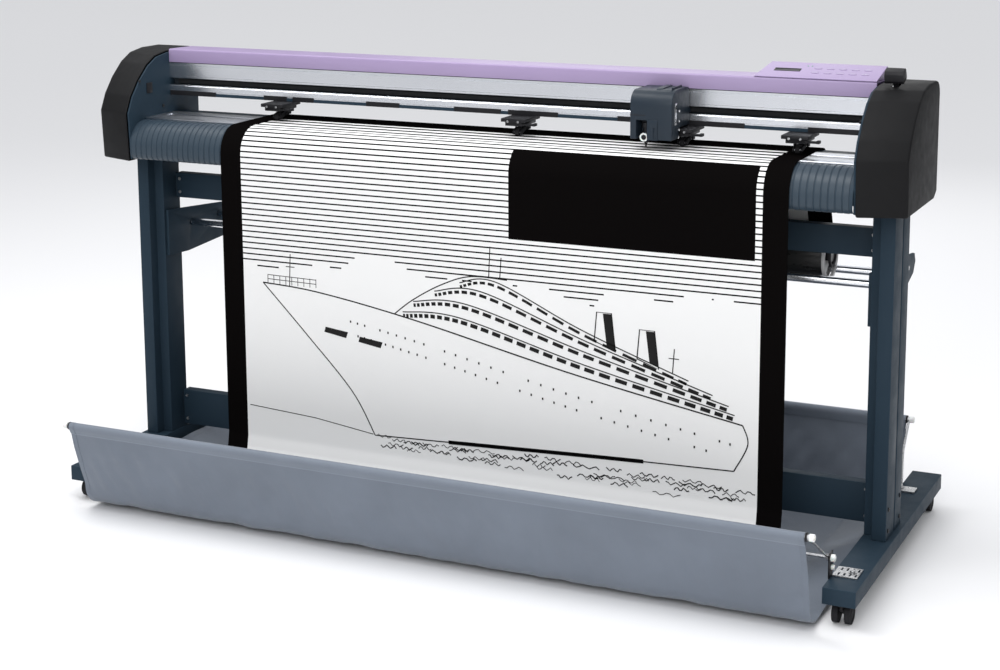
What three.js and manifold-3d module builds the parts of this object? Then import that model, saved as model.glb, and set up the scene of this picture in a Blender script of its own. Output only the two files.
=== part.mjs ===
// Wide-format vinyl cutting plotter on a caster stand, with a media roll behind, a sheet over the
// platen and a cloth basket below. Millimetres, +X to the operator's right, +Y to the rear, +Z up.
// The floor is Z = 0. Pieces are drawn about the stand's columns, and the whole machine is then moved
// so that the origin is the middle of its footprint.
import * as THREE from "three";
import { mergeVertices } from "three/addons/utils/BufferGeometryUtils.js";
import Module from "manifold-3d";

const wasm = await Module();
wasm.setup();

// ---- driving dimensions ----
const GAP = 0.3; // air between pieces that touch
const HALF_WIDTH = 1095; // outer faces of the end covers
const PANEL_X = 979; // inner faces of the side panels
const PANEL_T = 5;
const REAR_Y = 474; // rear end of the feet

const FOOT = { x: 1024.5, width: 76, front: -402, bottom: 54, top: 93, wall: 2.5 };
const COLUMN = { inner: 1014, outer: 1048.5, half: 74, wall: 2, top: 945 };
const COLUMN_LIP = { inner: 988, front: -42, rear: 36 };
const CROSSBAR = { front: 20, depth: 30, wall: 2 };
const UPPER_BAR_Z = [755, 824];
const LOWER_BAR_Z = [101, 200];

const CASTER = { radius: 25, trail: 16, end: 28, disc: 14, hood: 12 };

const PLATEN = { top: 998, thickness: 4, front: -122, rear: 14 };
const ROLLER = { y: -40, r: 14, half: 960 };
const BAR = { front: -5, rear: 72, bottom: 1046, top: 1134.7, wall: 3 };
const BAR_GROOVE = { bottom: 1074, top: 1093, depth: 22 };
const BELT = { half: 960, front: 4, rear: 15, thickness: 1.5, z: [1078.5, 1088.5] };
const GUIDE = { front: -200, radius: 66, thickness: 2.5, bottom: 912 };
const HEAD_BOTTOM = 888;

const SHEET = { left: -690, right: 834, thickness: 0.8, bottom: 118 };
const PINCH_X = [-615, 85, 520, 805];
const PINCH = { axisY: -8, axisZ: 1020, wheelR: 9 };

const CARRIAGE = { left: 420, right: 525, front: -132, top: 1141, bottom: 1025 };
const TOOL = { x: 452, y: -108 };

const ROLL = { y: 147.5, z: 724, r: 58, flangeR: 67.7 };
const ROLL_BARS = [
  ["front", 80],
  ["rear", 215],
];
const ROLL_BAR = { z: 676, r: 15, wall: 2, half: 980 };

const LEVER = { x: 1024, y: 10, z: 1120, lean: 22 };

const BASKET = { half: 975, rod: 8, frontY: -504.4, rearY: 432, rodZ: 243, floorZ: 10, wrap: 11.6 };
const BASKET_ARM_X = 981;
const STAY = { y: -340, z: 140, r: 4 };

const FRONT_Y = BASKET.frontY - BASKET.wrap; // foremost face of the basket cloth
const CENTRE_Y = -(FRONT_Y + REAR_Y) / 2;

// ---- finishes ----
const finish = (color, roughness, metalness) =>
  new THREE.MeshStandardMaterial({ color, roughness, metalness });
const BLUE_STEEL = finish(0x2a3a48, 0.5, 0.3);
const BLACK_SHELL = finish(0x26262a, 0.6, 0.0);
const BLACK_PLASTIC = finish(0x18181b, 0.55, 0.0);
const LILAC = finish(0xc4b0da, 0.4, 0.0);
const SILVER = finish(0xdfe4ee, 0.3, 0.9);
const STEEL = finish(0xb9bdc4, 0.3, 1.0);
const RUBBER = finish(0x1c1c1e, 0.9, 0.0);
const CLOTH = finish(0x7a8290, 0.9, 0.0);
const VINYL = finish(0xeeeef2, 0.5, 0.0);
const SHELL_BLUE = finish(0x2a3a48, 0.5, 0.0);
const PAPER = finish(0x2a2522, 0.7, 0.0);

// ---- shape helpers ----
const degrees = (value) => (value * Math.PI) / 180;

/** A closed mesh as a manifold-3d solid. */
function solid(geometry) {
  const bare = geometry.index ? geometry.toNonIndexed() : geometry.clone();
  bare.deleteAttribute("normal");
  bare.deleteAttribute("uv");
  const merged = mergeVertices(bare, 1e-4);
  const mesh = new wasm.Mesh({
    numProp: 3,
    vertProperties: new Float32Array(merged.attributes.position.array),
    triVerts: new Uint32Array(merged.index.array),
  });
  return new wasm.Manifold(mesh);
}

/** A manifold-3d solid back as a geometry. */
function geometryOf(body) {
  const mesh = body.getMesh();
  const geometry = new THREE.BufferGeometry();
  geometry.setAttribute("position", new THREE.BufferAttribute(new Float32Array(mesh.vertProperties), 3));
  geometry.setIndex(new THREE.BufferAttribute(new Uint32Array(mesh.triVerts), 1));
  geometry.computeVertexNormals();
  return geometry;
}

/** first, with the others joined on. */
function join(first, ...others) {
  return geometryOf(others.reduce((body, other) => body.add(solid(other)), solid(first)));
}

/** first, with the others cut away. */
function cut(first, ...others) {
  return geometryOf(others.reduce((body, other) => body.subtract(solid(other)), solid(first)));
}

/** A box from its low corner to its high corner. */
function box(x0, y0, z0, x1, y1, z1) {
  const geometry = new THREE.BoxGeometry(x1 - x0, y1 - y0, z1 - z0);
  return geometry.translate((x0 + x1) / 2, (y0 + y1) / 2, (z0 + z1) / 2);
}

function outlineShape(points, holes = []) {
  const shape = new THREE.Shape(points.map(([a, b]) => new THREE.Vector2(a, b)));
  for (const hole of holes) {
    shape.holes.push(new THREE.Path(hole.map(([a, b]) => new THREE.Vector2(a, b))));
  }
  return shape;
}

/** A [y, z] outline drawn out along X, from x0 to x1. */
function alongX(points, x0, x1, holes = []) {
  const options = { depth: x1 - x0, bevelEnabled: false, curveSegments: 1 };
  const geometry = new THREE.ExtrudeGeometry(outlineShape(points, holes), options);
  // the shape's x, y, z become the machine's y, z, x
  const turn = new THREE.Matrix4().makeBasis(
    new THREE.Vector3(0, 1, 0),
    new THREE.Vector3(0, 0, 1),
    new THREE.Vector3(1, 0, 0),
  );
  return geometry.applyMatrix4(turn).translate(x0, 0, 0);
}

/** An [x, y] outline drawn out along Z, from z0 to z1. */
function alongZ(points, z0, z1, holes = []) {
  const options = { depth: z1 - z0, bevelEnabled: false, curveSegments: 1 };
  return new THREE.ExtrudeGeometry(outlineShape(points, holes), options).translate(0, 0, z0);
}

/** A solid turned about a line along X: [radius, x] pairs, closed on the axis or on themselves. */
function turnedX(profile, y, z, segments = 20) {
  const points = profile.map(([radius, x]) => new THREE.Vector2(radius, x));
  const geometry = new THREE.LatheGeometry(points, segments, Math.PI / segments);
  return geometry.rotateZ(-Math.PI / 2).translate(0, y, z);
}

function rodX(x0, x1, y, z, r, segments = 16) {
  return turnedX([[0, x0], [r, x0], [r, x1], [0, x1]], y, z, segments);
}

/** A solid turned about a line along Z: [radius, z] pairs. */
function turnedZ(profile, x, y, segments = 20) {
  const points = profile.map(([radius, z]) => new THREE.Vector2(radius, z));
  return new THREE.LatheGeometry(points, segments).rotateX(Math.PI / 2).translate(x, y, 0);
}

/** Points on an arc in the [y, z] plane, from one angle to another in degrees. */
function arc(y, z, r, from, to, steps) {
  return Array.from({ length: steps + 1 }, (_, i) => {
    const angle = degrees(from + ((to - from) * i) / steps);
    return [y + r * Math.cos(angle), z + r * Math.sin(angle)];
  });
}

/** A closed outline moved inwards by a distance, mitred at its corners; it runs anticlockwise. */
function inset(points, distance) {
  const count = points.length;
  return points.map(([y, z], i) => {
    const [y0, z0] = points[(i + count - 1) % count];
    const [y1, z1] = points[(i + 1) % count];
    const before = new THREE.Vector2(y - y0, z - z0).normalize();
    const after = new THREE.Vector2(y1 - y, z1 - z).normalize();
    const normal = new THREE.Vector2(-before.y - after.y, before.x + after.x).normalize();
    const stretch = distance / (normal.x * -before.y + normal.y * before.x);
    return [y + normal.x * stretch, z + normal.y * stretch];
  });
}

/** An open [y, z] path thickened to its left, as a closed outline. */
function ribbon(path, thickness) {
  const other = path.map(([y, z], i) => {
    const [y0, z0] = path[Math.max(i - 1, 0)];
    const [y1, z1] = path[Math.min(i + 1, path.length - 1)];
    const run = Math.hypot(y1 - y0, z1 - z0);
    return [y - ((z1 - z0) / run) * thickness, z + ((y1 - y0) / run) * thickness];
  });
  return [...path, ...other.reverse()];
}

/** The same piece on the other end of the machine. */
function mirrored(geometry) {
  const flipped = geometry.index ? geometry.toNonIndexed() : geometry.clone();
  flipped.applyMatrix4(new THREE.Matrix4().makeScale(-1, 1, 1));
  const position = flipped.attributes.position;
  for (let i = 0; i < position.count; i += 3) {
    const second = new THREE.Vector3().fromBufferAttribute(position, i + 1);
    const third = new THREE.Vector3().fromBufferAttribute(position, i + 2);
    position.setXYZ(i + 1, third.x, third.y, third.z);
    position.setXYZ(i + 2, second.x, second.y, second.z);
  }
  return flipped;
}

const machine = new THREE.Group();
machine.position.y = CENTRE_Y;

function piece(name, geometry, material, parent = machine) {
  const mesh = new THREE.Mesh(geometry, material);
  mesh.name = name;
  parent.add(mesh);
  return mesh;
}

/** The right-hand piece, and the same one mirrored as the left-hand piece. */
function pair(name, geometry, material) {
  piece(`${name}_right`, geometry, material);
  piece(`${name}_left`, mirrored(geometry), material);
}

// ---- stand ----
function foot() {
  const half = FOOT.width / 2;
  const beam = box(FOOT.x - half, FOOT.front, FOOT.bottom, FOOT.x + half, REAR_Y, FOOT.top);
  // the beam is a channel, open below between its two end blocks
  const inside = half - FOOT.wall;
  const block = 60;
  const hollow = box(
    FOOT.x - inside, FOOT.front + block, FOOT.bottom - 1,
    FOOT.x + inside, REAR_Y - block, FOOT.top - FOOT.wall,
  );
  return cut(beam, hollow);
}

function column() {
  const { inner, outer, half, wall, top } = COLUMN;
  const { inner: lip, front, rear } = COLUMN_LIP;
  const groove = { y: 8, half: 4, depth: 6 };
  const outline = [
    [inner, -half], [outer, -half],
    [outer, groove.y - groove.half], [outer - groove.depth, groove.y - groove.half],
    [outer - groove.depth, groove.y + groove.half], [outer, groove.y + groove.half],
    [outer, half], [inner, half],
    [inner, rear], [lip, rear], [lip, front], [inner, front],
  ];
  const hollows = [
    [[inner + wall, -half + wall], [outer - groove.depth - wall, -half + wall],
      [outer - groove.depth - wall, half - wall], [inner + wall, half - wall]],
    [[lip + wall, front + wall], [inner - wall, front + wall],
      [inner - wall, rear - wall], [lip + wall, rear - wall]],
  ];
  return alongZ(outline, FOOT.top + GAP, top, hollows);
}

/** A channel with its open side to the rear. */
function crossbar([z0, z1]) {
  const { front, depth, wall } = CROSSBAR;
  const rear = front + depth;
  const outline = [
    [front, z0], [rear, z0], [rear, z0 + wall], [front + wall, z0 + wall],
    [front + wall, z1 - wall], [rear, z1 - wall], [rear, z1], [front, z1],
  ];
  const end = COLUMN_LIP.inner - GAP;
  return alongX(outline, -end, end);
}

pair("foot", foot(), BLUE_STEEL);
pair("column", column(), BLUE_STEEL);
piece("upper_crossbar", crossbar(UPPER_BAR_Z), BLUE_STEEL);
piece("lower_crossbar", crossbar(LOWER_BAR_Z), BLUE_STEEL);

// ---- casters: a swivelling hood between twin discs, at both ends of each foot ----
function casterHood() {
  const { radius, trail, hood } = CASTER;
  const half = hood / 2;
  const crown = [[-6, 38], ...arc(trail, radius, radius - 4, 150, -30, 8), [4, 30]];
  const cheek = alongX(crown, -half, half);
  const top = FOOT.bottom - GAP;
  const plate = turnedZ([[0, 34], [5.5, 34], [5.5, 50.5], [20, 50.5], [20, top], [0, top]], 0, 0);
  return cut(join(cheek, plate), rodX(-half - 1, half + 1, trail, radius, 4.5));
}

function casterWheel() {
  const { radius, trail, disc, hood } = CASTER;
  const inner = hood / 2 + 1.5;
  const outer = inner + disc;
  const profile = [
    [0, -outer], [radius - 3, -outer], [radius, -outer + 3], [radius, -inner], [4, -inner],
    [4, inner], [radius, inner], [radius, outer - 3], [radius - 3, outer], [0, outer],
  ];
  // a flat of the faceted tread stands on the floor
  return turnedX(profile, trail, radius * Math.cos(Math.PI / 24), 24);
}

const CASTER_X = [
  ["right", FOOT.x],
  ["left", -FOOT.x],
];
const CASTER_Y = [
  ["front", FOOT.front + CASTER.end],
  ["rear", REAR_Y - CASTER.end - CASTER.trail],
];
for (const [side, x] of CASTER_X) {
  for (const [end, y] of CASTER_Y) {
    const caster = new THREE.Group();
    caster.position.set(x, y, 0);
    machine.add(caster);
    piece(`caster_hood_${end}_${side}`, casterHood(), BLACK_PLASTIC, caster);
    piece(`caster_wheel_${end}_${side}`, casterWheel(), RUBBER, caster);
  }
}

// ---- cloth basket on two rods ----
function basketCloth() {
  const { frontY, rearY, rodZ, floorZ, wrap } = BASKET;
  const thickness = 2.5;
  const path = [
    ...arc(frontY, rodZ, wrap, 20, 180, 6),
    ...arc(-400, floorZ + 60, 60, 190, 270, 5),
    ...arc(350, floorZ + 60, 60, 270, 340, 5),
    ...arc(rearY, rodZ, wrap, 0, 160, 6),
  ];
  return alongX(ribbon(path, thickness), -BASKET.half, BASKET.half);
}

/** A bent rod of round section, drawn along straight runs between points. */
function bentRod(points, r, segments = 10) {
  const route = new THREE.CurvePath();
  const corners = points.map((point) => new THREE.Vector3(...point));
  for (let i = 1; i < corners.length; i++) {
    route.add(new THREE.LineCurve3(corners[i - 1], corners[i]));
  }
  const ring = Array.from({ length: segments }, (_, i) => {
    const angle = (2 * Math.PI * i) / segments;
    return [r * Math.cos(angle), r * Math.sin(angle)];
  });
  const options = { steps: points.length - 1, extrudePath: route, bevelEnabled: false, curveSegments: 1 };
  return new THREE.ExtrudeGeometry(outlineShape(ring), options);
}

function frontArm() {
  const x = BASKET_ARM_X;
  const shank = bentRod([[x, STAY.y, STAY.z], [x, BASKET.frontY, BASKET.rodZ]], 3);
  const eye = rodX(x - 2.5, x + 2.5, STAY.y, STAY.z, 8);
  const boss = rodX(x - 2.5, x + 2.5, BASKET.frontY, BASKET.rodZ, 7);
  return cut(join(shank, eye, boss), rodX(x - 4, x + 4, STAY.y, STAY.z, STAY.r + GAP));
}

function frontBracket() {
  const lipX = FOOT.x - FOOT.width / 2;
  const plate = box(lipX + 2, -330, FOOT.top + GAP, lipX + 60, -272, FOOT.top + 4);
  const upright = box(lipX - 1, -352, FOOT.top + GAP, lipX + 2.5, -322, STAY.z + 12);
  const head = [[0, FOOT.top + 3], [7, FOOT.top + 3], [7, FOOT.top + 9], [0, FOOT.top + 9]];
  const bolt = turnedZ(head, lipX + 42, -300, 6);
  const nut = rodX(lipX, lipX + 12, STAY.y, STAY.z, 8, 6);
  return cut(join(plate, upright, bolt, nut), rodX(lipX - 4, lipX + 6, STAY.y, STAY.z, STAY.r + GAP));
}

function rearArm() {
  const x = BASKET_ARM_X + 1.2;
  const foot0 = [x + 14, 308, FOOT.top + 4];
  const shank = bentRod([foot0, [x + 1, 330, 132], [x, BASKET.rearY, BASKET.rodZ]], 3.5);
  const plate = box(FOOT.x - FOOT.width / 2 + 2, 290, FOOT.top + GAP, FOOT.x + 8, 328, FOOT.top + 5);
  const boss = rodX(x - 2.5, x + 2.5, BASKET.rearY, BASKET.rodZ, 7);
  return join(shank, plate, boss);
}

/** A tube along X, open at both ends. */
function basketRod(y) {
  const { half, rod, rodZ } = BASKET;
  const end = half + 3;
  const bore = rod - 1.5;
  return turnedX([[bore, -end], [rod, -end], [rod, end], [bore, end], [bore, -end]], y, rodZ, 16);
}

piece("basket_cloth", basketCloth(), CLOTH);
piece("basket_front_rod", basketRod(BASKET.frontY), STEEL);
piece("basket_rear_rod", basketRod(BASKET.rearY), STEEL);
piece("basket_stay_rod", rodX(-984, 984, STAY.y, STAY.z, STAY.r, 12), STEEL);
pair("basket_front_arm", frontArm(), STEEL);
pair("basket_front_bracket", frontBracket(), STEEL);
pair("basket_rear_arm", rearArm(), STEEL);

// ---- head: end covers, side panels, beam, guides and platen ----
/** The end covers' side view, anticlockwise from the lower front corner. */
const COVER_OUTLINE = [
  [-197, HEAD_BOTTOM], [110, HEAD_BOTTOM], [136, 903], [136, 1118],
  ...arc(104, 1137, 32, 0, 90, 4),
  [-10, 1169], [-64, 1161], [-106, 1140], [-149, 1103], [-183, 1062], [-205, 1018],
];
const COVER_WALL = 3.5;
const COVER_SWEEP = 38; // how far the front face runs back from its inner to its outer edge

/** The covers' solid form, its front swept back towards the outside. */
function coverForm(outline, x0, x1) {
  const geometry = alongX(outline, x0, x1);
  const position = geometry.attributes.position;
  for (let i = 0; i < position.count; i++) {
    if (position.getX(i) > (x0 + x1) / 2 && position.getY(i) < 0) {
      position.setY(i, position.getY(i) + COVER_SWEEP);
    }
  }
  return geometry;
}

function cover(...holes) {
  const inner = PANEL_X + PANEL_T + GAP;
  const skin = coverForm(COVER_OUTLINE, inner, HALF_WIDTH);
  const hollow = coverForm(inset(COVER_OUTLINE, COVER_WALL), inner - 1, HALF_WIDTH - COVER_WALL);
  const clearance = 4;
  const column0 = box(
    COLUMN_LIP.inner - clearance, -COLUMN.half - clearance, HEAD_BOTTOM - 5,
    COLUMN.outer + clearance, COLUMN.half + clearance, HEAD_BOTTOM + 20,
  );
  return cut(skin, hollow, column0, ...holes);
}

const SWITCH = { x: 1066, z: 1010, wide: 20, tall: 30 };
const INLET = { x: 1026, z: 1010, wide: 30, tall: 24, depth: 26 };

function hole(x, z, wide, tall, clearance) {
  const w = wide / 2 + clearance;
  const h = tall / 2 + clearance;
  return box(x - w, 125, z - h, x + w, 140, z + h);
}

const leverSlot = box(LEVER.x - 9, LEVER.y - 31, 1160, LEVER.x + 9, LEVER.y + 31, 1175);
const switchHole = hole(SWITCH.x, SWITCH.z, SWITCH.wide, SWITCH.tall, 1);
const inletHole = hole(INLET.x, INLET.z, INLET.wide, INLET.tall, 1);
piece("right_cover", cover(leverSlot, switchHole, inletHole), BLACK_SHELL);
piece("left_cover", mirrored(cover()), BLACK_SHELL);

function sidePanel() {
  const plate = alongX(inset(COVER_OUTLINE, 6), PANEL_X, PANEL_X + PANEL_T);
  return cut(plate, rodX(PANEL_X - 1, PANEL_X + PANEL_T + 1, ROLLER.y, PLATEN.top - ROLLER.r, 8));
}
pair("side_panel", sidePanel(), BLUE_STEEL);

const SPAN = PANEL_X - GAP; // half the length of what lies between the side panels

/** Box beam under the platen, with a trough for the feed roller and a rounded rear paper guide. */
function bodyBeam() {
  const top = PLATEN.top - PLATEN.thickness - GAP;
  const trough = { half: 17, bottom: 964 };
  const front = PLATEN.front + 2;
  const outline = [
    [front, 900], [100, 900], [112, 912], [112, 950],
    ...arc(72, 953.7, 40, 0, 90, 6),
    [ROLLER.y + trough.half, top], [ROLLER.y + trough.half, trough.bottom],
    [ROLLER.y - trough.half, trough.bottom], [ROLLER.y - trough.half, top],
    [front, top],
  ];
  const hollow = inset(outline, 2);
  return alongX(outline, -SPAN, SPAN, [hollow]);
}

/** Curved front paper guide, from the platen's edge down and back under. */
function frontGuide() {
  const { front, radius, thickness, bottom } = GUIDE;
  const level = PLATEN.top - PLATEN.thickness;
  const path = [
    [PLATEN.front - GAP, level],
    ...arc(front + radius, level - radius, radius, 90, 180, 10),
    ...arc(front + 18, bottom, 18, 180, 270, 4),
    [PLATEN.front, bottom - 18],
  ];
  return alongX(ribbon(path, thickness), -SPAN, SPAN);
}

function platen() {
  const { top, thickness, front, rear } = PLATEN;
  const plate = box(-SPAN, front, top - thickness, SPAN, rear, top);
  return cut(plate, box(-ROLLER.half, ROLLER.y - 12, top - 10, ROLLER.half, ROLLER.y + 12, top + 1));
}

piece("body_beam", bodyBeam(), BLUE_STEEL);
piece("front_guide", frontGuide(), BLUE_STEEL);
piece("platen", platen(), SILVER);

// ---- feed drive ----
function feedRoller() {
  const { r, half } = ROLLER;
  const bare = r - 1.5;
  const grit = 45;
  const journal = PANEL_X + 22;
  const profile = [[0, -journal], [6, -journal], [6, -half + 4], [bare, -half + 4]];
  for (const x of PINCH_X) {
    profile.push([bare, x - grit], [r, x - grit], [r, x + grit], [bare, x + grit]);
  }
  profile.push([bare, half - 4], [6, half - 4], [6, journal], [0, journal]);
  return turnedX(profile, ROLLER.y, PLATEN.top - r, 16);
}

function feedMotor() {
  const x = PANEL_X + PANEL_T + 20;
  const z = PLATEN.top - ROLLER.r;
  const body = box(x + 4, ROLLER.y - 28, z - 28, x + 56, ROLLER.y + 28, z + 28);
  const boss = rodX(x, x + 6, ROLLER.y, z, 18);
  return mirrored(join(body, boss));
}

piece("feed_roller", feedRoller(), STEEL);
piece("feed_motor", feedMotor(), BLACK_PLASTIC);

// ---- cross rail, belt and top cover ----
function crossRail() {
  const { front, rear, bottom, top, wall } = BAR;
  const { bottom: g0, top: g1, depth } = BAR_GROOVE;
  const outline = [
    [front, bottom], [rear, bottom], [rear, top], [front, top],
    [front, g1], [front + depth, g1], [front + depth, g0], [front, g0],
  ];
  const hollow = [
    [front + depth + wall, bottom + wall], [rear - wall, bottom + wall],
    [rear - wall, top - wall], [front + depth + wall, top - wall],
  ];
  return alongX(outline, -SPAN, SPAN, [hollow]);
}

function belt() {
  const { half, front, rear, thickness, z } = BELT;
  const r = (rear - front) / 2;
  const middle = (rear + front) / 2;
  const track = (radius) => [
    ...arc(half - r, middle, radius, -90, 90, 6),
    ...arc(-half + r, middle, radius, 90, 270, 6),
  ];
  return alongZ(track(r), z[0], z[1], [track(r - thickness)]);
}

const TOP_COVER = { wall: 2.5, rear: 118, bottom: 1062, front: -6, top: 1172 };
/** Outer side view of the top cover, from its lower front edge over to its lower rear edge. */
const TOP_PATH = [
  [TOP_COVER.front, 1135],
  ...arc(TOP_COVER.front + 5, TOP_COVER.top - 5, 5, 180, 90, 3),
  ...arc(104, 1155, 14, 90, 0, 3),
  [TOP_COVER.rear, TOP_COVER.bottom],
];

function topCover() {
  const path = [...TOP_PATH].reverse();
  return alongX(ribbon(path, TOP_COVER.wall), -SPAN, SPAN);
}

const CONTROL = { left: 684, front: -6, lip: 1175, rear: 104, top: 1199 };

/** Sloping control panel that sits over the top cover's right end. */
function controlPanel() {
  const { left, front, lip, rear, top } = CONTROL;
  const seat = TOP_COVER.top + GAP + 0.1;
  const outline = [
    [front, seat], [front + 6, seat], [rear, seat - 2.9],
    [rear, top - 6], [rear - 9, top], [front, lip],
  ];
  const hood = alongX(outline, left, SPAN);
  const position = hood.attributes.position;
  for (let i = 0; i < position.count; i++) {
    if (position.getX(i) < left + 1 && position.getZ(i) > 1175) position.setX(i, left + 14);
  }
  return hood;
}

piece("cross_rail", crossRail(), SILVER);
piece("carriage_belt", belt(), RUBBER);
piece("top_cover", topCover(), LILAC);
piece("control_panel", controlPanel(), LILAC);

// ---- carriage and cutter ----
function carriage() {
  const { left, right, front, top, bottom } = CARRIAGE;
  const back = BAR.front - 1.5;
  const belt0 = BELT.front - 0.8;
  const outline = [
    [front, bottom], [-82, bottom], [-82, BAR.bottom + 4], [back, BAR.bottom + 4],
    [back, BAR_GROOVE.bottom + 4], [belt0, BAR_GROOVE.bottom + 4],
    [belt0, BAR_GROOVE.top - 4], [back, BAR_GROOVE.top - 4], [back, top - 8], [back - 8, top],
    ...arc(front + 34, top - 34, 34, 90, 180, 6),
  ];
  const pocket = box(TOOL.x - 17, front - 2, bottom - 1, TOOL.x + 17, TOOL.y + 18, bottom + 46);
  return cut(alongX(outline, left, right), pocket);
}

function cutterHolder() {
  const tip = PLATEN.top + SHEET.thickness + GAP + 4.3;
  const profile = [
    [0, tip], [1.2, tip], [4.5, tip + 12], [7, tip + 13], [7, 1032], [12.5, 1032],
    [12.5, 1040], [7, 1040], [7, 1052], [10, 1052], [10, 1063], [0, 1063],
  ];
  return turnedZ(profile, TOOL.x, TOOL.y, 20);
}

piece("carriage", carriage(), SHELL_BLUE);
piece("cutter_holder", cutterHolder(), STEEL);

// ---- pinch rollers: a slider under the rail, an arm hinged on it and a wheel, four times ----
const PINCH_WHEEL_Z = PLATEN.top + SHEET.thickness + 2 * GAP + PINCH.wheelR;

function pinchSlider() {
  const { axisY, axisZ } = PINCH;
  const top = box(-33, -70, 1037, 33, 24, BAR.bottom - GAP);
  const block = box(-23, -66, 1027, 23, 20, 1038);
  const cheek = (x) => box(x, axisY - 9, axisZ - 7, x + 4, axisY + 9, 1028);
  const handle = box(22, -64, 1029, 56, -52, 1034);
  const stop = box(50, -66, 1029, 58, -50, 1036);
  return join(top, block, cheek(-18), cheek(14), handle, stop);
}

function pinchArm() {
  const { axisY, axisZ, wheelR } = PINCH;
  const outline = [
    ...arc(axisY, axisZ, 6, -90, 90, 5),
    [ROLLER.y, PINCH_WHEEL_Z + 7],
    ...arc(ROLLER.y, PINCH_WHEEL_Z, 6, 110, 270, 5),
  ];
  const fork = alongX(outline, -12, 12);
  const wellRear = ROLLER.y + wheelR + 1.5;
  const wheelWell = box(-8, ROLLER.y - 12, PINCH_WHEEL_Z - 12, 8, wellRear, PINCH_WHEEL_Z + 14);
  return cut(fork, wheelWell);
}

function pinchWheel() {
  const { wheelR } = PINCH;
  const profile = [
    [0, -7.7], [3, -7.7], [3, -6], [wheelR - 1, -6], [wheelR, -5],
    [wheelR, 5], [wheelR - 1, 6], [3, 6], [3, 7.7], [0, 7.7],
  ];
  return turnedX(profile, ROLLER.y, PINCH_WHEEL_Z, 16);
}

PINCH_X.forEach((x, i) => {
  const unit = new THREE.Group();
  unit.position.x = x;
  machine.add(unit);
  piece(`pinch_slider_${i + 1}`, pinchSlider(), BLACK_PLASTIC, unit);
  piece(`pinch_arm_${i + 1}`, pinchArm(), BLACK_PLASTIC, unit);
  piece(`pinch_wheel_${i + 1}`, pinchWheel(), RUBBER, unit);
});

// ---- clamp lever on the right cover ----
function clampLever() {
  const { x, y, z, lean } = LEVER;
  const hub = rodX(x - 6, x + 6, 0, 0, 11);
  const neck = alongX([[-7, 0], [7, 0], [6, 66], [-6, 66]], x - 5, x + 5);
  const grip = [[-14, 63], [14, 63], [17, 70], [15, 86], [9, 92], [-9, 92], [-15, 86], [-17, 70]];
  const handle = alongX(grip, x - 22, x + 22);
  return join(hub, neck, handle).rotateX(degrees(lean)).translate(0, y, z);
}
piece("clamp_lever", clampLever(), BLACK_PLASTIC);

// ---- power inlet and rocker switch in the right cover's rear wall ----
function powerInlet() {
  const { x, z, wide, tall, depth } = INLET;
  const wall = 136;
  const body = box(x - wide / 2, wall - depth, z - tall / 2, x + wide / 2, wall + 2, z + tall / 2);
  const rimW = wide / 2 + 4;
  const rimH = tall / 2 + 4;
  const rim = box(x - rimW, wall + GAP, z - rimH, x + rimW, wall + 2, z + rimH);
  const socket = box(x - 11.5, wall - 18, z - 8, x + 11.5, wall + 3, z + 8);
  const pin = (centre) => box(centre - 1.2, wall - 19, z - 3, centre + 1.2, wall - 4, z + 3);
  const pins = [-6.5, 0, 6.5].map((offset) => pin(x + offset));
  return join(cut(join(body, rim), socket), ...pins);
}

function powerSwitch() {
  const { wide } = SWITCH;
  const outline = [[-1, -13.5], [1, -13.5], [1.5, 0], [5, 13.5], [3, 13.5], [-8, 10], [-8, -10]];
  const rocker = alongX(outline, -wide / 2, wide / 2);
  return rocker.translate(SWITCH.x, 133, SWITCH.z);
}
piece("power_inlet", powerInlet(), BLACK_PLASTIC);
piece("power_switch", powerSwitch(), BLACK_PLASTIC);

// ---- media roll on two roller bars behind the stand ----
function rollArm() {
  const x0 = PANEL_X + 1;
  const outline = [
    [-34, 600], [60, 596], [300, 610], [400, 640], [420, 668], [408, 690], [300, 700], [-34, 728],
  ];
  const plate = alongX(outline, x0, COLUMN_LIP.inner - GAP);
  const bores = ROLL_BARS.map(([, y]) => rodX(x0 - 1, x0 + 4, y, ROLL_BAR.z, ROLL_BAR.r - 5));
  return cut(plate, ...bores);
}

/** A tube with a narrower journal at each end, bored right through. */
function rollBar(y) {
  const { z, r, wall, half } = ROLL_BAR;
  const shoulder = half - 1.5;
  const end = half + 3;
  const neck = r - 6;
  const bore = neck - 3;
  const plug = shoulder - 20;
  const profile = [
    [bore, -end], [neck, -end], [neck, -shoulder], [r, -shoulder],
    [r, shoulder], [neck, shoulder], [neck, end], [bore, end],
    [bore, plug], [r - wall, plug], [r - wall, -plug], [bore, -plug], [bore, -end],
  ];
  return turnedX(profile, y, z, 20);
}

function mediaRoll() {
  const { y, z, r, flangeR } = ROLL;
  const rim = 8;
  const core = 20;
  const profile = [
    [core, SHEET.left - 14], [core + 12, SHEET.left - 14], [core + 12, SHEET.left - rim],
    [flangeR, SHEET.left - rim], [flangeR, SHEET.left], [r, SHEET.left],
    [r, SHEET.right], [flangeR, SHEET.right], [flangeR, SHEET.right + rim],
    [core + 12, SHEET.right + rim], [core + 12, SHEET.right + 14], [core, SHEET.right + 14],
    [core, SHEET.left - 14],
  ];
  return turnedX(profile, y, z, 28);
}

pair("roll_arm", rollArm(), BLUE_STEEL);
for (const [name, y] of ROLL_BARS) piece(`roll_bar_${name}`, rollBar(y), SILVER);
piece("media_roll", mediaRoll(), PAPER);

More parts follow.
